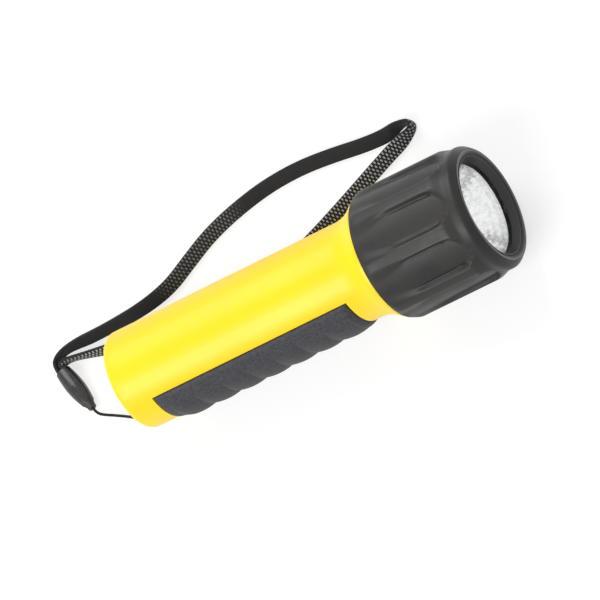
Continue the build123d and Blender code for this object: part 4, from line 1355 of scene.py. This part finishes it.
class TORCH_OT_head_cover(bpy.types.Operator):
    """Fluted rubber cover of the twist head"""

    bl_idname = "torch.head_cover"
    bl_label = "Head Cover"

    def execute(self, context):
        s, c = sizes(), colours()
        outline = spaced(head_outline(), 1.3)
        period = 360.0 / s.flute_count
        edge = FLUTE_HALF_ANGLE
        beside = (0.25, 0.5, 0.8, 1.2, 1.7, 2.4, 3.4, 5)
        steps = (0, *beside, *(-d for d in beside))
        own = sorted({round(e + d, 3) for e in (-edge, edge) for d in steps} | {-9, -6, -3, 0, 3, 6, 9})
        own = [a for a in own if -period / 2 <= a < period / 2]
        own.append(-period / 2)
        angles = np.array(sorted((k * period + a) % 360 for k in range(s.flute_count) for a in own))
        nearest = (angles + period / 2) % period - period / 2
        rings = []
        for x, r in outline:
            depth = self.flute(x, r, np.abs(nearest), edge, math.degrees(s.flute_edge))
            rings.append(around(x, r - depth, angles))
        # painted highlight along the lip's crest, and wear with a painted highlight beside the flutes' edges
        highlight_and_wear = self.highlight_and_wear_edges(outline, np.abs(nearest), edge)
        material = rubber_material(
            "head_rubber_black", c.head, c.head_bloom, roughness=0.42, patch=75.0, speck=c.head_bloom,
            speck_scale=1900.0, relief=0.00002, specular=0.30, amount=0.25,
        )
        cover = revolved("head_cover_rubber", rings, material, sharp_angle=50)
        mask = cover.data.attributes.new("painted_highlight_and_wear", "FLOAT", "POINT")
        mask.data.foreach_set("value", highlight_and_wear.reshape(-1).astype(np.float32))
        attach(cover, "head")
        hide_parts("head_sleeve")
        return {"FINISHED"}

    def highlight_and_wear_edges(self, outline, off_middle, edge):
        """Mask of painted highlight and wear: a painted highlight line along the lip's crest, and a lighter
        band of wear with a painted highlight on the lands beside the flutes' edges.
        """
        highlight_and_wear = np.zeros((len(outline), len(off_middle)))
        for i, (x, r) in enumerate(outline):
            # the lip's crest: painted highlight line
            if x > CREST_HIGHLIGHT[0] and r < CREST_HIGHLIGHT[1]:
                highlight_and_wear[i] = 1.0
            elif x < LAND[0] and r > LAND[1]:
                amount, low, high = LAND_WEAR_AND_HIGHLIGHT
                beside, spread = LAND_WEAR_AND_HIGHLIGHT_SPREAD
                beside_edge = np.exp(-((off_middle - edge - beside) / spread) ** 2)
                highlight_and_wear[i] = amount * beside_edge * float(smoothstep(x, low, high))
        return highlight_and_wear

    def flute(self, x, r, off_middle, edge, crisp):
        """Depth of the flute below the outer wall at each angle off its middle."""
        if r < FLUTE_INNER_R or x > FLUTE_END:
            return np.zeros(off_middle.shape)
        depth = max(0.0, r - float(np.interp(x, *FLUTE_FLOOR)))
        low, high = FLUTE_CLOSING
        close = max(0.0, (x - low) / (high - low))
        width = edge * math.sqrt(max(0.0, 1 - close ** FLUTE_CLOSING_POWER))
        extra, low, high = FLUTE_SOFT_REAR
        soft = crisp + extra * (1 - float(smoothstep(x, low, high)))
        deep, low, high = CREASE
        inside, spread, full_width = CREASE_PLACE
        crease = deep * float(smoothstep(x, low, high)) * min(1.0, width / full_width)
        foot = np.exp(-((off_middle - width + inside * crisp) / spread) ** 2)
        side = 1 - smoothstep(off_middle, width - soft, width + soft * FLUTE_SOFT_OUT)
        return depth * side + crease * foot * min(1.0, depth)


class TORCH_OT_reflector(bpy.types.Operator):
    """Bright dish of swelling facets"""

    bl_idname = "torch.reflector"
    bl_label = "Reflector"

    def execute(self, context):
        s = sizes()
        growth = (DISH_MOUTH_R ** 2 - DISH_THROAT_R ** 2) / DISH_DEPTH
        parts = FACET_PARTS
        dish = []
        for i in range(s.facet_rings * parts + 1):
            t = (i / (s.facet_rings * parts)) ** DISH_GROWTH
            x = DISH_DEPTH * t
            dish.append((DISH_BACK + x, math.sqrt(DISH_THROAT_R ** 2 + growth * x)))
        columns = s.facet_sectors * parts
        angles = np.arange(columns) * 360.0 / columns
        rings = []
        for i, (x, r) in enumerate(dish):
            offset = 0.5 * (i // parts % 2) if i % parts else 0.0
            across = np.sin(math.pi * ((np.arange(columns) / parts + offset) % 1.0))
            swell = math.sin(math.pi * (i / parts % 1.0)) * across * s.facet_bulge / MM
            rings.append(around(x, r - swell, angles))
        back = [(x, r + DISH_WALL) for x, r in reversed(dish[:-8:2]) if x < DISH_BACK_END]
        for x, r in (*DISH_RIM, *back):
            rings.append(around(x, r, angles))
        rings.reverse()
        dish_piece = revolved("bright_dish", rings, reflector_material(), sharp_angle=30)
        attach(dish_piece, "lamp")
        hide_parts("reflector")
        return {"FINISHED"}


class TORCH_OT_inner_finishes(bpy.types.Operator):
    """Materials of the window, the seals and everything inside"""

    bl_idname = "torch.inner_finishes"
    bl_label = "Window and Inner Finishes"

    def execute(self, context):
        c = colours()
        for nodes, name, base, shade, roughness, metallic in INNER_FINISHES:
            base = base or tuple(c.plastic)
            shade = shade or toned(c.plastic, 1.7)
            material = moulded_material(
                name, base, shade, roughness, patch=220.0, grain=3600.0, relief=0.000012,
                metallic=metallic, marks=0.2, marks_colour=toned(base, 1.5),
            )
            for node in nodes:
                self.finish(node, material)
        self.finish("lens", window_material())
        self.finish("led_emitter", emitter_material())
        return {"FINISHED"}

    def finish(self, node, material):
        data = frame["nodes"][node].data
        data.materials.clear()
        data.materials.append(material)


# ------------------------------------------------------------------ add-on
class TORCH_PT_panel(bpy.types.Panel):
    """Sidebar panel of the torch's sizes, colours and pieces"""

    bl_idname = "TORCH_PT_panel"
    bl_label = "Diving Torch"
    bl_space_type = "VIEW_3D"
    bl_region_type = "UI"
    bl_category = "Diving Torch"

    def draw(self, context):
        layout = self.layout
        for group in (context.scene.torch_sizes, context.scene.torch_colours, context.scene.torch_studio):
            box = layout.box()
            for name in group.__annotations__:
                box.prop(group, name)
        for operator in OPERATORS:
            layout.operator(operator.bl_idname)


OPERATORS = (
    TORCH_OT_stage, TORCH_OT_wrist_strap, TORCH_OT_thin_cord, TORCH_OT_barrel, TORCH_OT_grip_pad,
    TORCH_OT_neck_thread, TORCH_OT_head_cover, TORCH_OT_reflector, TORCH_OT_inner_finishes,
)
CLASSES = (TorchSizes, TorchColours, StudioSettings, *OPERATORS, TORCH_PT_panel)


def register():
    for item in CLASSES:
        bpy.utils.register_class(item)
    bpy.types.Scene.torch_sizes = PointerProperty(type=TorchSizes)
    bpy.types.Scene.torch_colours = PointerProperty(type=TorchColours)
    bpy.types.Scene.torch_studio = PointerProperty(type=StudioSettings)


def unregister():
    del bpy.types.Scene.torch_studio
    del bpy.types.Scene.torch_colours
    del bpy.types.Scene.torch_sizes
    for item in reversed(CLASSES):
        bpy.utils.unregister_class(item)


def main():
    """Registers the add-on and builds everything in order."""
    register()
    for operator in OPERATORS:
        getattr(bpy.ops.torch, operator.bl_idname.split(".")[1])()
    bpy.context.view_layer.update()


if __name__ == "__main__":
    main()
